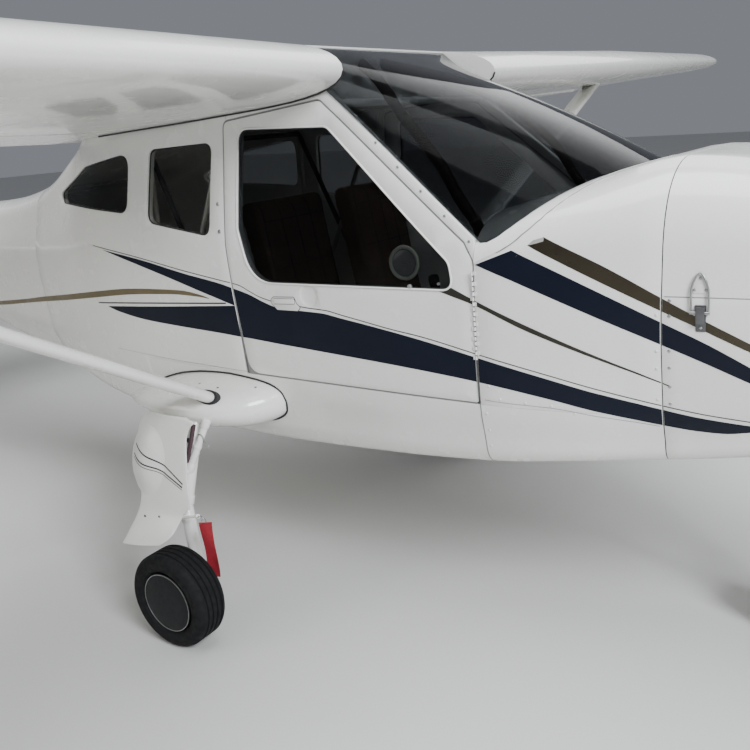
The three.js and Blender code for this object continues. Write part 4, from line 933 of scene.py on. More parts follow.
def on_panel(x, z, lift=0.0):
    """The point of the panel's outer face at x, z, on the port side, over the blister too."""
    _, rear, front, y = panel_at(z)
    reach = ((x - BLISTER_X) / BLISTER_HALF_X) ** 2 + ((z - BLISTER_Z) / BLISTER_HALF_Z) ** 2
    rise = BLISTER_HEIGHT * max(0, 1 - reach) ** 1.4
    return (x, float(y) + PANEL_OUT + bow((x - rear) / (front - rear)) + rise + lift, z)


def panel_line(rows, width):
    """A thin closed strip on the panel along a line."""
    line_at = smooth_rows(rows)
    rings = []
    for x in np.linspace(rows[0][0], rows[-1][0], 49):
        z = float(line_at(x)[0])
        high, low = z + width / 2, z - width / 2
        rings.append([on_panel(x, high, 0.7), on_panel(x, z, 0.9), on_panel(x, low, 0.7),
                      on_panel(x, low, -0.6), on_panel(x, high, -0.6)])
    return loft(rings)


def blister_ring(share):
    """A ring of the blister at a share of its reach, whose rim lies just inside the panel's face."""
    lift = -3 if share == 1 else 0.1
    return [on_panel(BLISTER_X + BLISTER_HALF_X * share * math.cos(t),
                     BLISTER_Z + BLISTER_HALF_Z * share * math.sin(t), lift) for t in turns(64)]


panel_shares = np.linspace(0, 1, 17)
panel_rings = []
for z in np.linspace(738, 342, 56):
    face = [panel_point(z, t) for t in panel_shares]
    panel_rings.append(face + [panel_point(z, t, PANEL_THICKNESS) for t in panel_shares[::-1]])
panel = loft(panel_rings)
BLISTER_SHARES = (1, 0.995, 0.98, 0.95, 0.9, 0.83, 0.74, 0.62, 0.48, 0.32, 0.15, 0.02)
blister = loft([blister_ring(share) for share in BLISTER_SHARES])
pair(panel, "gear_panel_sheet", PANEL_WHITE, node="gear_panel", slot="white_paint", angle=50, bevel=1.2)
pair(blister, "gear_panel_blister", PANEL_WHITE, angle=60)
for line_name, (rows, width, material) in PANEL_LINES.items():
    pair(panel_line(rows, width), f"gear_panel_line_{line_name}", material, angle=60)
panel_screws = together(*[dome(on_panel(x, z), TO_PORT, 5, 1.2) for x, z in PANEL_SCREWS])
pair(panel_screws, "gear_panel_screws", DARK_STEEL)

# Nose leg and fork
NOSE_LEG_X = 1840


def on_nose_leg(z0, z1, radius):
    return bar((NOSE_LEG_X, 0, z0), (NOSE_LEG_X, 0, z1), radius, 32)


nose_leg = together(on_nose_leg(402, 960, 30), on_nose_leg(640, 700, 42), on_nose_leg(404, 440, 36),
                    on_nose_leg(720, 732, 38), bar((NOSE_LEG_X, 0, 690), (1433, 0, 800), 16, 24))
place(nose_leg, "nose_leg_tube", WHITE_METAL, replaces=["nose_leg"], slot="white_metal", bevel=1)
axle_x, _, axle_z = NOSE_AXLE
fork_side = together(bar((1802, 71, 334), (axle_x, 71, axle_z), 14, 24),
                     cross_bar(axle_x, axle_z, 56, 86, 24, 32), cross_bar(axle_x, axle_z, 0, 90, 14, 24))
crown_outline = rounded([(1770, 322, 8), (1868, 322, 10), (1868, 346, 10), (1770, 346, 8)])
fork = together(both_halves(fork_side), prism(crown_outline, -85, 85), on_nose_leg(334, 396, 24))
place(fork, "nose_fork_arms", WHITE_METAL, "steering_fork", ["nose_fork"], "white_metal", bevel=2)
nuts = together(cross_bar(axle_x, axle_z, 86, 95, 15, 6), cross_bar(axle_x, axle_z, -86, -95, 15, 6))
place(nuts, "nose_axle_nuts", STEEL, "steering_fork", bevel=1)

# Propeller and spinner; columns: radius, chord, thickness as part of the chord, blade angle
BLADE_ROWS = [
    (60, 70, 0.6, 62), (150, 95, 0.3, 50), (300, 130, 0.16, 36), (500, 128, 0.11, 25), (700, 104, 0.09, 18),
    (800, 74, 0.08, 16), (850, 34, 0.08, 15),
]
BLADE_STATIONS = (60, 80, 105, 130, 150, 180, 215, 255, 300, 350, 400, 450, 500, 560, 620, 670, 710, 750,
                  780, 805, 825, 838, 846, 850)
CONE_STATIONS = (0.03, 0.06, 0.1, 0.15, 0.2, 0.26, 0.33, 0.4, 0.48, 0.56, 0.64, 0.72, 0.79, 0.85, 0.9, 0.94,
                 0.97, 0.99)
SPINNER_BACK, SPINNER_RADIUS, SPINNER_LENGTH, HUB_LENGTH = 2246, 128, 251, 92
blade_at = smooth_rows(BLADE_ROWS)


def blade_ring(radius):
    chord, thickness, angle = blade_at(radius)
    turn = math.radians(angle)
    ring = []
    for back, up in airfoil(chord, thickness, 0.02, 16):
        along_chord = back - chord * 0.4
        ring.append((SPINNER_BACK + HUB_LENGTH / 2 - along_chord * math.sin(turn) + up * math.cos(turn),
                     along_chord * math.cos(turn) + up * math.sin(turn), radius + PROP_Z))
    return ring


blade = loft([blade_ring(r) for r in BLADE_STATIONS])
axis_point = to_frame((0, 0, PROP_Z))
other_blade = blade.copy()
other_blade.transform(
    Matrix.Translation(axis_point) @ Matrix.Rotation(math.pi, 4, "X") @ Matrix.Translation(-axis_point))
hub = bar((SPINNER_BACK, 0, PROP_Z), (SPINNER_BACK + HUB_LENGTH, 0, PROP_Z), 68, 48)
place(together(blade, other_blade, hub), "propeller_blades", BLADE, "propeller_unit", ["propeller"],
      "dark_blade", angle=50)
cone = [(0.5, 0), (SPINNER_RADIUS, 0), *[(SPINNER_RADIUS * math.sqrt(1 - t**1.7), SPINNER_LENGTH * t)
                                         for t in CONE_STATIONS], (0.5, SPINNER_LENGTH)]
slot_block = block(SPINNER_BACK, SPINNER_BACK + HUB_LENGTH + 1, -72, 72, PROP_Z - 300, PROP_Z + 300)
spinner = carved(turned(cone, (SPINNER_BACK + 3, 0, PROP_Z), FORWARD, 72), [slot_block])
place(spinner, "spinner_cone", WHITE, "propeller_unit", ["spinner"], "white_paint", bevel=0.8)

# Tail; columns: z, leading edge x, trailing edge x, thickness
FIN_ROWS = [
    (1240, -2610, -3800, 92), (1400, -2740, -3800, 90), (2370, -3215, -3775, 62), (2422, -3270, -3755, 50),
    (2440, -3320, -3720, 26),
]
FIN_STATIONS = (1240, 1400, 1800, 2200, 2370, 2385, 2400, 2412, 2422, 2430, 2436, 2440)
RUDDER_HINGE_X, RUDDER_BOTTOM_Z, RUDDER_NOSE, ABOVE_FIN_Z = -3440, 1400, 29, 2640
fin_at = smooth_rows(FIN_ROWS)


def fin_ring(z):
    leading, trailing, thickness = fin_at(z)
    chord = leading - trailing
    return [(leading - back, up, z) for back, up in airfoil(chord, thickness / chord, 0, 20)]


def behind_rudder_hinge(z0, z1=ABOVE_FIN_Z):
    return block(-3850, RUDDER_HINGE_X, -200, 200, z0, z1)


def rudder_roller(z0, radius):
    return bar((RUDDER_HINGE_X, 0, z0), (RUDDER_HINGE_X, 0, ABOVE_FIN_Z), radius, 48)


fin_whole = loft([fin_ring(z) for z in FIN_STATIONS])
rudder_front = carved(carved(fin_whole, [], rudder_roller(RUDDER_BOTTOM_Z, RUDDER_NOSE)),
                      [behind_rudder_hinge(RUDDER_BOTTOM_Z - 100, 2700)])
place(together(carved(fin_whole, [], behind_rudder_hinge(RUDDER_BOTTOM_Z)), rudder_front), "rudder_skin",
      WHITE, "rudder", ["rudder"], "white_paint", angle=50)
fin = carved(fin_whole, [behind_rudder_hinge(900), rudder_roller(900, RUDDER_NOSE + CONTROL_GAP), boom_outer])
place(fin, "fin_skin", WHITE, replaces=["fin"], slot="white_paint", angle=50)

STABILATOR_CHORD, STABILATOR_ROOT_Y = 720, 128
STABILATOR_ROWS = [(0, 1), (1130, 1), (1230, 0.95), (1290, 0.82), (1322, 0.6)]
STABILATOR_STATIONS = (0, 600, 1130, 1165, 1200, 1230, 1255, 1275, 1290, 1303, 1314, 1322)
stabilator_at = smooth_rows(STABILATOR_ROWS)


def stabilator_ring(y):
    chord = STABILATOR_CHORD * float(stabilator_at(y)[0])
    leading = STABILATOR_X + STABILATOR_CHORD * 0.3 - (STABILATOR_CHORD - chord) * 0.6
    return [(leading - back, STABILATOR_ROOT_Y + y, STABILATOR_Z + up)
            for back, up in airfoil(chord, 0.1, 0, 20)]


stabilator = together(both_halves(loft([stabilator_ring(y) for y in STABILATOR_STATIONS])),
                      cross_bar(STABILATOR_X, STABILATOR_Z, -188, 188, 22, 32))
place(stabilator, "stabilator_skin", WHITE, "stabilator", ["stabilator"], "white_paint", angle=50)

# Stripes and thin marks: sheets on the skin between two edges, each in columns of x and z from rear to front
DOOR_REAR_LINE = ((2, 1280), (45, 834))
DOOR_FRONT_X, BEHIND_DOOR_X = 928, 40
STRIPE_RUNS = [(-3400, BEHIND_DOOR_X, "airframe"), (0, DOOR_FRONT_X - 1.5, "door"),
               (DOOR_HINGE_X + 1, FIREWALL_X - 1, "airframe"), (FIREWALL_X + 3.6, 2300, "airframe")]


def trimmed(mesh, line, keep, distance=0.0):
    """What lies ahead of a line in the side view, with keep 1, or behind it, with keep -1."""
    (x0, z0), (x1, z1) = line
    facing = Vector((z1 - z0, 0, x0 - x1)).normalized()
    facing *= math.copysign(1, facing.x)
    bm = bmesh.new()
    bm.from_mesh(mesh)
    bmesh.ops.bisect_plane(bm, geom=bm.verts[:] + bm.edges[:] + bm.faces[:], dist=1e-6,
                           plane_co=to_frame((x0, 0, z0)) + facing * distance * MM, plane_no=facing * keep,
                           clear_inner=True)
    bm.to_mesh(mesh)
    bm.free()


def strip(top, under, x0, x1, side, lift):
    """A thin sheet that lies on the skin between a top and an under edge, lifted by a hair."""
    top_at, under_at = smooth_rows(top), smooth_rows(under)
    columns = max(2, round((x1 - x0) / 16) + 1)
    stations = np.linspace(x0, x1, columns)
    height = max(float(top_at(x)[0] - under_at(x)[0]) for x in stations)
    rows = max(1, math.ceil(height / 14)) + 1
    points, faces = [], []
    for x in stations:
        for share in np.linspace(0, 1, rows):
            z = float(under_at(x)[0]) * (1 - share) + float(top_at(x)[0]) * share
            points.append(on_skin(x, z, side, lift)[0])
    for i in range(columns - 1):
        for j in range(rows - 1):
            a = i * rows + j
            face = (a, a + rows, a + rows + 1, a + 1)
            faces.append(face if side < 0 else face[::-1])
    return new_mesh(points, faces)


def painted(name, bands, material, lift=0.6):
    """A stripe on both sides, cut at the edges of the door and at the joint of the cowl."""
    for side_name, side in SIDES.items():
        parts = {"airframe": [], "door": []}
        for top, under in bands:
            for start, end, part in STRIPE_RUNS:
                a, b = max(top[0][0], start), min(top[-1][0], end)
                if b - a < 2:
                    continue
                mesh = strip(top, under, a, b, side, lift)
                if end == BEHIND_DOOR_X:
                    trimmed(mesh, DOOR_REAR_LINE, -1, -7.5)
                if part == "door":
                    trimmed(mesh, DOOR_REAR_LINE, 1, 1.5)
                if len(mesh.polygons):
                    parts[part].append(mesh)
        for part, meshes in parts.items():
            if meshes:
                place(together(*meshes), f"{name}_{part}_{side_name}", material,
                      f"{side_name}_door" if part == "door" else "airframe", angle=60)


def thin(rows, width):
    return [(x, z + width / 2) for x, z in rows], [(x, z - width / 2) for x, z in rows]


MAIN_TOP = [(15, 1132), (84, 1115), (144, 1093), (203, 1077), (300, 1072), (381, 1070), (464, 1058),
            (596, 1038), (747, 1012), (934, 973), (1143, 923), (1275, 888), (1431, 850), (1525, 833),
            (1645, 819), (1716, 811)]
MAIN_UNDER = [(15, 962), (58, 960), (197, 951), (364, 941), (669, 922), (929, 899), (1141, 864), (1273, 833),
              (1430, 801), (1523, 789), (1578, 787), (1645, 797), (1716, 811)]
UPPER_TAIL = ([(-673, 1241), (-425, 1209), (-216, 1172), (-43, 1145), (15, 1132)],
              [(-673, 1241), (-344, 1165), (-146, 1113), (15, 1071)])
LOWER_TAIL = ([(-699, 1018), (-372, 1042), (15, 1071)],
              [(-699, 1018), (-625, 1002), (-469, 984), (-279, 975), (-76, 967), (15, 962)])
painted("navy_main", [(MAIN_TOP, MAIN_UNDER), UPPER_TAIL, LOWER_TAIL], NAVY)
painted("navy_upper", [
    ([(938, 1244), (1044, 1285)], [(938, 1244), (1044, 1203)]),
    ([(1044, 1285), (1217, 1205), (1436, 1099), (1551, 1043), (1644, 990), (1780, 908), (1890, 850)],
     [(1044, 1203), (1217, 1131), (1436, 1038), (1551, 989), (1645, 946), (1780, 884), (1890, 850)])], NAVY)
painted("gold_upper", [
    ([(1088, 1298), (1130, 1320)], [(1088, 1298), (1130, 1277)]),
    ([(1130, 1320), (1281, 1249), (1429, 1167), (1508, 1124), (1643, 1054), (1850, 940)],
     [(1130, 1277), (1281, 1203), (1436, 1129), (1508, 1096), (1643, 1032), (1850, 940)])], GOLD)
# Painted highlight: a bright patch at the front end of the upper gold stripe stands in for a glint of light
# on it.
painted("gold_glint", [([(1088, 1299), (1101, 1311), (1131, 1319)],
                        [(1088, 1298), (1101, 1301), (1131, 1309)])],
        PAINTED_HIGHLIGHT, 0.9)
painted("dark_gold_line", [
    ([(816, 1165), (861, 1176)], [(816, 1165), (861, 1151)]),
    ([(861, 1176), (924, 1147), (1080, 1079), (1279, 996), (1456, 922)],
     [(861, 1151), (924, 1132), (1079, 1064), (1279, 988), (1456, 919)])], DARK_GOLD)
painted("gold_tail", [
    ([(-2050, 892), (-1788, 927), (-1460, 971), (-1300, 996), (-1084, 1027), (-735, 1076), (-533, 1099),
      (-379, 1107), (-249, 1110), (-149, 1100), (-106, 1090)],
     [(-2050, 886), (-1806, 906), (-1471, 951), (-1300, 975), (-1098, 1002), (-743, 1051), (-540, 1076),
      (-384, 1088), (-253, 1094), (-151, 1092), (-106, 1088)])], TAIL_GOLD)
painted("tail_line", [thin([(-759, 1027), (-369, 1055), (-26, 1077)], 5)], DARK_LINE)
painted("pin_line", [
    thin([(-734, 1255), (-446, 1219), (-215, 1182), (-41, 1157), (44, 1144), (86, 1127), (134, 1108),
          (182, 1097)], 3),
    thin([(294, 1087), (325, 1084), (404, 1080), (465, 1069), (545, 1055), (648, 1037), (747, 1023),
          (934, 984), (1144, 935), (1431, 862), (1525, 846), (1645, 832), (1760, 817)], 3)], DARK_LINE)
painted("lower_seam", [thin([(948, 845), (994, 842), (1139, 838), (1272, 819), (1423, 797)], 1.4)], SEAM_AND_EDGE_SHADE)
painted("belly_seam", [thin([(-690, 846), (-300, 838), (36, 835)], 1.2)], SEAM_AND_EDGE_SHADE)

# Dark lines round the fuselage at its joints, the one at the rear edge of the cowl a black sheet of painted
# shade in the gap, and the seal round each door
DOOR_SEAL_SHAPE = [*DOOR[:-1], (45, 834, 2)]
# Painted shade: a black sheet just under the skin fills the gap between cowl and firewall, standing in for
# the shade in that gap.
place(shell(deck_at, COWL_REAR_X + 0.6, FIREWALL_X - 0.6, 1, 8, 30), "cowl_joint_painted_shade", SEAL_AND_GAP_SHADE)
pair(lambda side: tube_along(skin_points([(x, COWL_SPLIT_Z) for x in range(1440, 2060, 20)], side, -1.2),
                             1.9, 8),
     "cowl_split_line", SEAM_AND_EDGE_SHADE, angle=80)
place(carved(shell(deck_at, DOOR_HINGE_X + 0.5, DOOR_HINGE_X - 2.5, -0.5, 1, 30), [], slab(900, 960, z1=832)),
      "belly_joint_line", SEAM_AND_EDGE_SHADE)
DOOR_SEAL_OUTER, DOOR_SEAL_INNER = 1.2, 24
seal_sheet = shell(cabin_at, DOOR_HINGE_X, CABIN_REAR_X, DOOR_SEAL_OUTER, DOOR_SEAL_INNER)
pair(lambda side: carved(seal_sheet, [side_hole(DOOR, 1.6, side), slab(916, 960), above_wing_underside],
                         side_hole(DOOR_SEAL_SHAPE, MOVING_GAP - 0.2, side)),
     "door_seal", DOOR_RUBBER, angle=30)


# Rivets and screws
def heads(name, places, material, radius=4.2, height=1.8, lift=0.0):
    pair(lambda side: together(*[dome(*on_skin(x, z, side, lift), radius, height) for x, z in places]), name,
         material, angle=50)


def spaced(rows, pitch):
    """Points at an even pitch along a line through rows of (x, z)."""
    points, left = [], 0.0
    for (x0, z0), (x1, z1) in zip(rows, rows[1:]):
        length = math.hypot(x1 - x0, z1 - z0)
        while left <= length:
            points.append((x0 + (x1 - x0) * left / length, z0 + (z1 - z0) * left / length))
            left += pitch
        left -= length
    return points


PILLAR_STRIP = [(600, 1580), (640, 1541), (730, 1463), (812, 1391), (892, 1320), (929, 1286)]
heads("seam_rivets", [(963, 889), (995, 851), (1069, 847), (1143, 844), (1207, 825)], WHITE_METAL)
heads("joint_rivets", [(950, 800), (950, 745), (948, 690), (1421, 1120), (1421, 1021), (1421, 971),
                       (1421, 880)],
      WHITE_METAL)
heads("cowl_screws", [(1452, z) for z in (1159, 1118, 1023, 975, 920, 869)], STEEL, 4.6, 1.6)
heads("cabin_screws", [(-27, 1412), (-24, 1322)], STEEL, 7, 3)
heads("pillar_rivets", [(x + 9, z + 4) for x, z in spaced(PILLAR_STRIP, 104)], STEEL, 4.6, 2.2, -0.2)

# Band round the foot of the windscreen
BAND_WIDTH, BAND_COVER, BAND_END_X = 52, 8, 935.2
BAND_RIVETS = (0, 0.16, 0.32, 0.47, 0.6, 0.71, 0.8, 0.87, 0.925, 0.962, 0.985)


def band_width(s):
    return BAND_WIDTH - 20 * abs(s) ** 8


def band_point(s, down, lift):
    """A point a way down the deck from where a ruling of the windscreen meets it."""
    high, low = [to_frame(windscreen_point(s, v)) for v in (0.4, -0.1)]
    way = (low - high).normalized()
    foot = from_frame(skin["deck"].ray_cast(high, way)[0])
    location, normal, _, _ = skin["deck"].find_nearest(to_frame(foot + way * down))
    return from_frame(location) + normal * math.copysign(lift, normal.z if lift > 0 else -normal.z)


def band_ring(s):
    width = band_width(s)
    outer = [band_point(s, -BAND_COVER + (width + BAND_COVER) * k / 5, 3) for k in range(6)]
    return [*outer, band_point(s, width, -1), band_point(s, -BAND_COVER, -1)]


def band_end(side):
    edge = [(BAND_END_X, 1302 - 10.6 * k) for k in range(6)]
    return skin_points(edge, side, 3) + skin_points([edge[-1], edge[0]], side, -1)


# The grey line along the lower edge of the band is painted shade: it stands in for the narrow shade under the
# band's raised edge.
def band_edge_shade(side):
    shares = [0.999 * side * math.sin(math.pi / 2 * k / 40) for k in range(41)]
    return tube_along([band_point(s, band_width(s) + 1, 0.6) for s in shares], 1.4, 6)


band_steps = np.sin(np.linspace(-math.pi / 2, math.pi / 2, 73)) * 0.999
place(loft([band_end(-1), *[band_ring(float(s)) for s in band_steps], band_end(1)]), "windscreen_band", WHITE,
      angle=40)
pair(band_edge_shade, "windscreen_band_line", SEAM_AND_EDGE_SHADE, angle=80)
band_rivets = []
for s in sorted({share * side for share in BAND_RIVETS for side in SIDES.values()}):
    at = band_point(s, 24, 2.2)
    normal = skin["deck"].find_nearest(to_frame(at))[1]
    band_rivets.append(dome(at, normal * math.copysign(1, normal.z), 3.4, 1.2))
place(together(*band_rivets), "windscreen_band_rivets", WHITE_METAL, angle=50)

# Door hinge: a row of knuckles on its axis with a leaf each, turn about on the door and on the fuselage
HINGE_AXIS_X, HINGE_AXIS_Y, HINGE_AXIS_Z, HINGE_LEAN = 931, 553.5, 1175, 0.049
HINGE_PIN_X, KNUCKLE_LENGTH, KNUCKLE_PITCH, LEAF_REACH = 930.6, 10.5, 14.5, 9


def hinge_at(z, side):
    return (HINGE_AXIS_X, side * (HINGE_AXIS_Y + (z - HINGE_AXIS_Z) * HINGE_LEAN), z)


def knuckles(first, ahead):
    """Every other knuckle from the first, with its leaf ahead of the axis, with 1, or behind it, with -1."""
    def on_one_side(side):
        meshes = []
        for z in np.arange(968, 1218, KNUCKLE_PITCH)[first::2]:
            top = z + KNUCKLE_LENGTH
            inner, outer = HINGE_AXIS_X + 1.5 * ahead, HINGE_AXIS_X + LEAF_REACH * ahead
            corners = [(inner, z), (outer, z), (outer, top), (inner, top)]
            leaf = loft([skin_points(corners, side, lift) for lift in (-0.5, 2.2)])
            meshes.append(together(bar(hinge_at(z, side), hinge_at(top, side), 3, 12), leaf))
        return together(*meshes)

    return on_one_side


pair(lambda side: tube_along(skin_points([(HINGE_PIN_X, z) for z in range(836, 1230, 16)], side, 1.2),
                             1.6, 8),
     "hinge_pin", DARK_STEEL)
pair(knuckles(1, 1), "hinge_knuckles_airframe", WHITE_METAL)
pair(knuckles(0, -1), "hinge_knuckles_door", WHITE_METAL, "door")


# Door handle in its plate, trim round the windows, the vent and the clip in the door's pane
def patch(outline, low, high):
    """A thin plate on the skin from its outline in the side view, as a function of the side."""
    return lambda side: loft([skin_points(outline, side, lift) for lift in (low, high)])


def close_rows(rows, step=30):
    """Points round an outline, none further apart than a step."""
    outline = rounded(rows)
    points = []
    for i, (x, z) in enumerate(outline):
        x0, z0 = outline[i - 1]
        count = max(1, math.ceil(math.hypot(x - x0, z - z0) / step))
        points += [(x0 + (x - x0) * k / count, z0 + (z - z0) * k / count) for k in range(count)]
    return points


def bead(rows, lift, radius, sides):
    """A round bead on the skin along an outline, as a function of the side."""
    return lambda side: tube_along(skin_points(close_rows(rows), side, lift), radius, sides, joined=True)


def on_pane(place_xz, depth, profile, sides):
    """A turned fitting at a depth below the skin, as a function of the side."""
    return lambda side: turned(profile, *on_skin(*place_xz, side, -depth), sides)


HANDLE_PLATE = [(183, 1103, 4), (193, 1111, 4), (279, 1115, 4), (287, 1095, 6), (302, 1083, 4),
                (291, 1071, 4), (206, 1070, 4), (184, 1090, 4)]
HANDLE_GRIP = [(194, 1106, 3), (281, 1110, 3), (281, 1094, 3), (195, 1090, 3)]
VENT_AT, VENT_DEPTH, CLIP_AT, STUD_AT = (703, 1241), 9, (722, 1172), (817, 1184)
VENT_RING = [(41, -1), (41, 4), (43, 5.5), (48, 6), (51, 4), (52, -1)]
VENT_FLAP_SHAPE = [(0.5, 1), (0.5, 4.5), (5, 4.5), (6, 2.4), (39, 2.4), (40, 1)]
pair(patch(rounded(grown(HANDLE_PLATE, 2.2)), -0.5, 0.8), "handle_edge", SEAL_AND_GAP_SHADE, "door")
pair(patch(rounded(HANDLE_PLATE), 0, 2.2), "handle_plate", WHITE_METAL, "door", bevel=0.6)
pair(patch(rounded(grown(HANDLE_GRIP, 1.8)), 1, 2.5), "handle_grip_edge", SEAL_AND_GAP_SHADE, "door")
pair(patch(rounded(HANDLE_GRIP), 1, 5), "handle_grip", WHITE_METAL, "door", bevel=1.2)
pair(bead(grown(DOOR_WINDOW, 0.8), -0.4, 3.2, 8), "door_window_bead", WHITE, "door", angle=80)
for window, (outline, part, _) in WINDOWS.items():
    pair(bead(grown(outline, -2), 1 - PANE_INSET, 2.6, 6), f"{window}_seal", SEAL_AND_GAP_SHADE, part, angle=80)
pair(on_pane(VENT_AT, VENT_DEPTH, VENT_RING, 48), "vent_ring", VENT, "door")
pair(on_pane(VENT_AT, VENT_DEPTH, VENT_FLAP_SHAPE, 48), "vent_flap", VENT_FLAP, "door")
clip = on_pane(CLIP_AT, 3, [(0.4, -2), (0.4, 5), (6, 5), (7.5, 3), (7.5, -2)], 20)
stud = on_pane(STUD_AT, 6, [(0.4, -2), (0.4, 4), (3.4, 4), (4.4, -2)], 16)
pair(lambda side: together(clip(side), stud(side)), "pane_fittings", STEEL, "door")

# Cowl latch: a wire loop that hooks over a stud, and its sprung body
LATCH_LOOP = [(1504, 1128), (1504, 1160), (1503, 1189), (1508, 1208), (1515, 1225), (1523, 1233),
              (1531, 1226), (1539, 1209), (1544, 1190), (1546, 1160), (1546, 1128)]
LATCH_BOLTS = [(1524, 1219), (1511, 1189), (1538, 1189), (1528, 1091)]
LATCH_PLATE = [(1512, 1150, 4), (1540, 1150, 4), (1540, 1080, 4), (1516, 1080, 4)]
LATCH_BODY = [(1515, 1146, 3), (1537, 1146, 3), (1537, 1104, 3), (1517, 1104, 3)]
LATCH_UPPER_PLATE = [(1504, 1200, 8), (1524, 1236, 10), (1545, 1200, 8), (1543, 1180, 4), (1506, 1180, 4)]


def latch_loop(side):
    barrel = skin_points([(1501, 1131), (1549, 1131)], side, 5.5)
    return together(tube_along(skin_points(LATCH_LOOP, side, 5.5), 2.6, 10), bar(*barrel, 4.2, 16))


def latch_body(side):
    return together(patch(rounded(LATCH_PLATE), -0.5, 2)(side), patch(rounded(LATCH_BODY), 1, 13)(side))


pair(latch_loop, "cowl_latch_loop", STEEL)
pair(latch_body, "cowl_latch_body", DARK_STEEL, bevel=1)
pair(patch(rounded(LATCH_UPPER_PLATE), -0.5, 1.6), "cowl_latch_plate", WHITE_METAL, bevel=0.5)
heads("cowl_latch_bolts", LATCH_BOLTS, STEEL, 4, 2.4, 1.6)

# Sponson: its seal on the fuselage and its screws
SPONSON_SCREWS = [(-110, 700), (-20, 704), (96, 640), (-260, 690)]


def seal_ring(i, ring):
    """A ring of the sponson, a little taller and at its front a little further forward."""
    centre = sum(p[2] for p in ring) / len(ring)
    return [(x + 6 * (1 - i / 12), y, centre + (z - centre) * 1.03 + math.copysign(4, z - centre))
            for x, y, z in ring]


seal_loft = loft([seal_ring(i, ring) for i, ring in enumerate(sponson_rings)])
sponson_seal = carved(shell(cabin_at, 500, -700, -2, 2), [loft(sponson_rings)], seal_loft)
pair(sponson_seal, "sponson_seal", SEAL_AND_GAP_SHADE)
sponson_screws = []
for x, y in SPONSON_SCREWS:
    hit, normal, _, _ = sponson_skin.ray_cast(to_frame((x, y - 60, 1000)), -UP)
    sponson_screws.append(dome(from_frame(hit), normal * math.copysign(1, normal.z), 4.4, 1))
pair(together(*sponson_screws), "sponson_screws", DARK_STEEL, angle=50)

# Seam of the wing against the cabin
pair(lambda side: tube_along([(x, side * 500, z - 1.5) for x, z in root_underside if x > -640], 3.4, 8),
     "wing_root_seal", SEAL_AND_GAP_SHADE, angle=80)

# Cabin: padded front tubes, round cage tubes and sticks
SCREEN_TUBE = [(265, 52, 1838), (300, 90, 1826), (430, 215, 1778), (532, 315, 1727), (618, 382, 1664),
               (684, 414, 1611), (740, 430, 1556), (775, 438, 1519), (852, 444, 1400), (899, 448, 1340),
               (925, 450, 1262), (932, 450, 1180), (934, 450, 1060)]
DARK_CAGE = [((-45, 468, 750), (-430, 440, 1610), 10), ((-430, 440, 1610), (-430, -440, 1610), 10)]
LIGHT_CAGE = [((-45, 468, 750), (-45, 448, 1640), 13), ((-45, 448, 1640), (-45, -448, 1640), 13),
              ((-430, 445, 800), (-45, 448, 1640), 10), ((-430, 445, 800), (-430, 440, 1610), 10)]
tube_at = smooth_rows([(-z, x, y) for x, y, z in SCREEN_TUBE])
screen_tube_path = [(float(tube_at(-z)[0]), float(tube_at(-z)[1]), z) for z in np.linspace(1838, 1062, 44)]


def welded(rows):
    """Tubes with a weld near each end, and their mirror images."""
    meshes = []
    for start, end, radius in rows:
        welds = [sleeve(start, end, a, b, radius + 1.5, 20) for a, b in ((0.012, 0.03), (0.97, 0.988))]
        meshes += [bar(start, end, radius, 20), *welds]
    return both_halves(together(*meshes))


def tube_wrap(k):
    way = (Vector(screen_tube_path[k + 1]) - Vector(screen_tube_path[k])).normalized()
    return turned([(16, -3), (18.6, -2), (18.6, 2), (16, 3)], screen_tube_path[k], way, 20)


place(welded(LIGHT_CAGE), "cage_tubes_light", CAGE, replaces=["cage_tubes"], slot="white_paint")
place(welded(DARK_CAGE), "cage_tubes_dark", PADDING)
pair(tube_along(screen_tube_path, 17, 16), "screen_tube", BROWN_PAD)
pair(together(*[tube_wrap(k) for k in range(3, 33, 4)]), "screen_tube_wraps", PIPING)

STICK_Y, STICK_RADIUS = 250, 11.5
GRIP = [(1, 0), (12, 0), (16, 4), (17.5, 16), (15.5, 30), (17.5, 44), (15.5, 58), (17, 72), (18, 88),
        (15, 98), (4, 101), (1, 101)]
stick_bars = together(
    bar((690, STICK_Y, 760), (690, STICK_Y, 900), STICK_RADIUS, 20),
    bar((690, STICK_Y, 900), (640, STICK_Y, 1060), STICK_RADIUS, 20), cross_bar(690, 830, 0, 262, 11, 20),
    turned([(12, -6), (20, -6), (22, 6), (12, 22)], (690, STICK_Y, 760), UP, 24))
grip = turned(GRIP, (643, STICK_Y, 1050), Vector((-15, 0, 100)).normalized(), 28)
place(both_halves(stick_bars), "stick_tubes", DARK_STEEL, replaces=["control_sticks"], slot="dark_trim")
place(both_halves(grip), "stick_grips", TRIM)

# Instrument panel; dials in columns y, z, radius
BOARD_REAR_X, BOARD_FRONT_X, RADIO_REAR_X, PEDESTAL_REAR_X = 957, 984, 950, 942
BOARD = rounded([(-468, 1012, 20), (468, 1012, 20), (468, 1240, 60), (330, 1288, 120), (-330, 1288, 120),
                 (-468, 1240, 60)])
PEDESTAL = rounded([(-68, 832, 14), (68, 832, 14), (68, 1018, 6), (-68, 1018, 6)])
SHROUD = rounded([(-466, 1272, 6), (466, 1272, 6), (466, 1290, 9), (-466, 1290, 9)])
DIALS = [(y, z, 39) for z in (1216, 1126) for y in (330, 242, 154)]
DIALS += [(y, z, 28) for z in (1226, 1160, 1094) for y in (-180, -250)] + [(-340, 1200, 39), (-340, 1110, 39)]
RADIO_ROWS = (1212, 1164, 1116, 1068)
NEEDLE_X, DIAL_MARK_X = 952.6, 954.9


def facing_back(outline, stations):
    """A body from an outline in y and z, at each station a share as wide."""
    return loft([[(x, y * share, z) for y, z in outline] for x, share in stations])


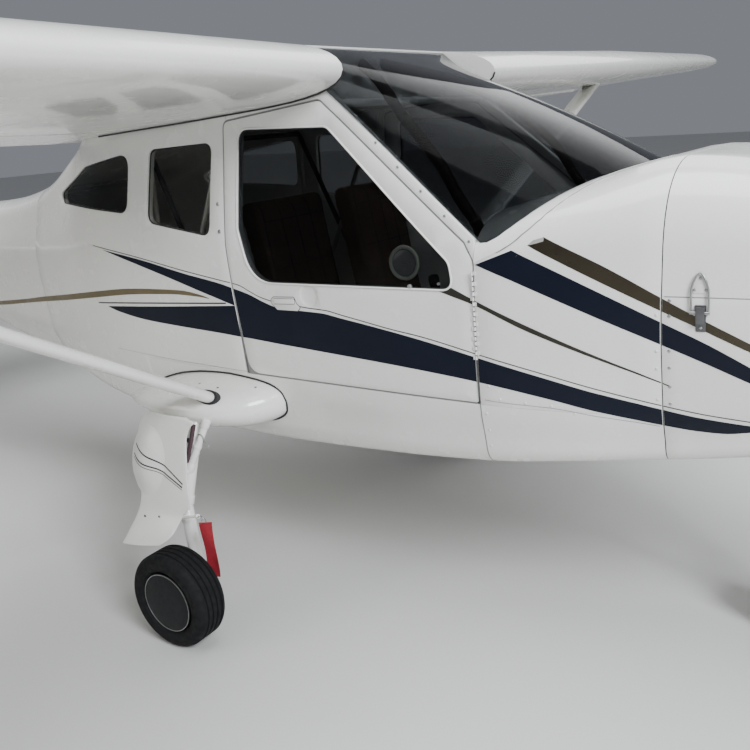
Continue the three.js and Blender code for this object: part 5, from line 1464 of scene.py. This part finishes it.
board = facing_back(BOARD, ((BOARD_REAR_X, 1), (BOARD_FRONT_X, 1)))
pedestal = facing_back(PEDESTAL, ((PEDESTAL_REAR_X, 1), (BOARD_FRONT_X, 1)))
shroud = facing_back(SHROUD, ((884, 0.96), (900, 0.99), (BOARD_FRONT_X, 1)))
edge_pad = tube_along([(886, y, 1283 + 8 * (1 - (y / 450) ** 2)) for y in np.linspace(-446, 446, 31)], 9, 14)
place(together(board, pedestal), "instrument_board", TRIM, replaces=["instrument_panel"], slot="dark_trim",
      bevel=2)
place(together(shroud, edge_pad), "instrument_shroud", PADDING, bevel=1)
bezels, dial_faces, needles = [], [], []
for number, (y, z, radius) in enumerate(DIALS):
    at = (BOARD_REAR_X, y, z)
    bezel = [(radius - 5, -2), (radius - 4, 5), (radius, 5), (radius + 2, 2), (radius + 2, -2)]
    bezels.append(turned(bezel, at, -FORWARD))
    dial_faces.append(turned([(0.3, -1), (0.3, 1.6), (radius - 4.6, 1.6), (radius - 4.6, -1)], at, -FORWARD))
    turn = 0.9 * number + 0.4
    tip = (NEEDLE_X, y + math.cos(turn) * (radius - 11), z + math.sin(turn) * (radius - 11))
    needles.append(bar((NEEDLE_X, y, z), tip, 1.5, 8, 0.5))
    needles.append(turned([(0.3, 1.4), (0.3, 5), (3.2, 5), (3.6, 1.4)], at, -FORWARD, 16))
    for t in turns(10):
        inner, outer = [(DIAL_MARK_X, y + math.cos(t) * r, z + math.sin(t) * r)
                        for r in (radius - 10, radius - 6)]
        needles.append(bar(inner, outer, 0.7, 6))
place(together(*bezels), "dial_bezels", BLADE)
place(together(*dial_faces), "dial_faces", DIAL)
place(together(*needles), "dial_needles", LINING)
radios = [block(RADIO_REAR_X, RADIO_REAR_X + 8, -92, 92, z, z + 40) for z in RADIO_ROWS]
knobs = [turned([(0.4, 0), (0.4, 15), (6.5, 15), (8, 0)], (RADIO_REAR_X, y, z + 20), -FORWARD, 20)
         for z in RADIO_ROWS for y in (-78, 78)]
knobs += [turned([(0.4, 0), (0.4, 30), (9, 34), (12, 26), (4, 20), (4, 0)], (PEDESTAL_REAR_X, y, z),
                 -FORWARD, 20)
          for y, z in ((-30, 960), (30, 960), (0, 900))]
place(together(*radios), "radio_fronts", BLADE, bevel=1.5)
place(together(*knobs), "panel_knobs", DARK_STEEL, angle=50)

# Seats: a cushion and a back for each, swollen by a short cloth simulation, then sewn
CUSHION_SIDE = rounded([(122, 800, 18), (596, 800, 26), (616, 884, 40), (200, 876, 18), (140, 860, 18)])
BACK_SIDE = rounded([(106, 806, 20), (170, 874, 26), (64, 1424, 40), (-8, 1408, 40)])
SEAT_Y, SWELL_CAP, SWELL_PRESSURE, SWELL_FRAMES, SEAT_VOXEL = (78, 462), 12, 4.0, 20, 9
SEAM_Y = (106, 190, 270, 350, 434)


def swollen(mesh):
    """The mesh puffed out like a stuffed cushion, no point by more than the cap."""
    blank = modified(mesh, "REMESH", mode="VOXEL", voxel_size=SEAT_VOXEL * MM)
    start = np.empty(len(blank.vertices) * 3)
    blank.vertices.foreach_get("co", start)
    obj = linked("swelling", blank)
    cloth = obj.modifiers.new("cloth", "CLOTH")
    cloth.settings.use_pressure = True
    cloth.settings.uniform_pressure_force = SWELL_PRESSURE
    cloth.settings.effector_weights.gravity = 0
    cloth.settings.quality = 4
    for number in range(1, SWELL_FRAMES + 1):
        bpy.context.scene.frame_set(number)
    result = evaluated(obj)
    end = np.empty(len(result.vertices) * 3)
    result.vertices.foreach_get("co", end)
    bpy.data.objects.remove(obj)
    bpy.context.scene.frame_set(1)
    move = (end - start).reshape(-1, 3)
    length = np.linalg.norm(move, axis=1, keepdims=True)
    move *= np.minimum(1, SWELL_CAP * MM / np.maximum(length, 1e-9))
    result.vertices.foreach_set("co", (start.reshape(-1, 3) + move).ravel())
    result.update()
    return result


def sewn(skin_of, starts, way):
    """A seam that lies in the surface where rays from a row of points meet it."""
    hits = [skin_of.ray_cast(to_frame(p), way)[0] for p in starts]
    return tube_along([from_frame(hit) for hit in hits if hit is not None], 2.2, 8)


cushion, back = swollen(prism(CUSHION_SIDE, *SEAT_Y)), swollen(prism(BACK_SIDE, *SEAT_Y))
cushion_skin, back_skin = surface_of(cushion), surface_of(back)
seam_row = np.linspace(108, 432, 22)
seams = [sewn(cushion_skin, [(x, y, 1000) for x in np.linspace(170, 590, 28)], -UP) for y in SEAM_Y]
seams += [sewn(cushion_skin, [(x, y, 1000) for y in seam_row], -UP) for x in (250, 420, 560)]
seams += [sewn(back_skin, [(500, y, z) for z in np.linspace(915, 1400, 30)], -FORWARD) for y in SEAM_Y]
seams += [sewn(back_skin, [(500, y, z) for y in seam_row], -FORWARD) for z in (1000, 1180, 1340)]
cushions = pair(modified(cushion, "SUBSURF", levels=1), "seat_cushion", SEAT, node="seat", slot="seat_cloth",
                angle=80)
backs = pair(modified(back, "SUBSURF", levels=1), "seat_back", SEAT, angle=80)
pair(together(*seams), "seat_seams", PIPING, angle=80)

# Camera at the photograph's place and angle
CAMERA_AT = Vector((2.684, -2.648, 1.648))
YAW, PITCH, ROLL, LENS = math.radians(34.78), math.radians(16.63), math.radians(-4.02), 40.96
camera_data = bpy.data.cameras.new("camera")
camera_data.lens = LENS
camera_data.sensor_width = 36
camera_data.clip_start = 0.05
camera = linked("camera", camera_data)
bpy.context.scene.camera = camera
look = Vector((-math.sin(YAW) * math.cos(PITCH), math.cos(YAW) * math.cos(PITCH), -math.sin(PITCH)))
level = Vector((math.cos(YAW), math.sin(YAW), 0))
over = level.cross(look)
right = level * math.cos(ROLL) + over * math.sin(ROLL)
upright = -level * math.sin(ROLL) + over * math.cos(ROLL)
camera.matrix_world = Matrix.Translation(CAMERA_AT) @ Matrix((right, upright, -look)).transposed().to_4x4()

# Floor and soft light
FLOOR_HALF, SKY_COLOR, SKY_STRENGTH = 40, (0.86, 0.9, 1.0, 1), 0.24
LIGHTS = [
    # place, aimed at, size, power, color
    ((-3.5, -6.5, 4.5), (0.3, 0, 1.2), 3.0, 110, (1.0, 0.93, 0.84)),
    ((7.5, -3.5, 5.5), (1.4, 0, 1.0), 3.0, 900, (0.92, 0.96, 1.0)),
    ((1.0, -1.0, 8.5), (0.8, -0.6, 1.2), 6.0, 620, (0.95, 0.98, 1.0)),
    ((1.0, 7.0, 6.5), (0.5, 0, 1.2), 6.0, 200, (1.0, 1.0, 1.0)),
]
floor_mesh = bpy.data.meshes.new("floor")
floor_corners = [(x * FLOOR_HALF, y * FLOOR_HALF, 0) for x, y in ((-1, -1), (1, -1), (1, 1), (-1, 1))]
floor_mesh.from_pydata(floor_corners, [], [(0, 1, 2, 3)])
floor_mesh.materials.append(finish_of("pale_floor", (0.62, 0.62, 0.60), 0.6, grime=0.06, grime_scale=0.6))
linked("floor", floor_mesh)

world = bpy.data.worlds.new("sky")
world.use_nodes = True
set_inputs(world.node_tree.nodes["Background"], {"Color": SKY_COLOR, "Strength": SKY_STRENGTH})
bpy.context.scene.world = world
for number, (at, aim, size, power, color) in enumerate(LIGHTS):
    lamp_data = bpy.data.lights.new(f"softbox_{number}", "AREA")
    lamp_data.size, lamp_data.energy, lamp_data.color = size, power, color
    lamp = linked(f"softbox_{number}", lamp_data)
    lamp.location = at
    lamp.rotation_euler = (Vector(aim) - Vector(at)).to_track_quat("-Z", "Y").to_euler()

# Solids of the frame that show as they are
CARRIED = {"firewall": STEEL, "engine": ENGINE, "cabin_floor": CARPET}
for node, material in CARRIED.items():
    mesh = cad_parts[node].data
    mesh.materials.clear()
    mesh.materials.append(material)
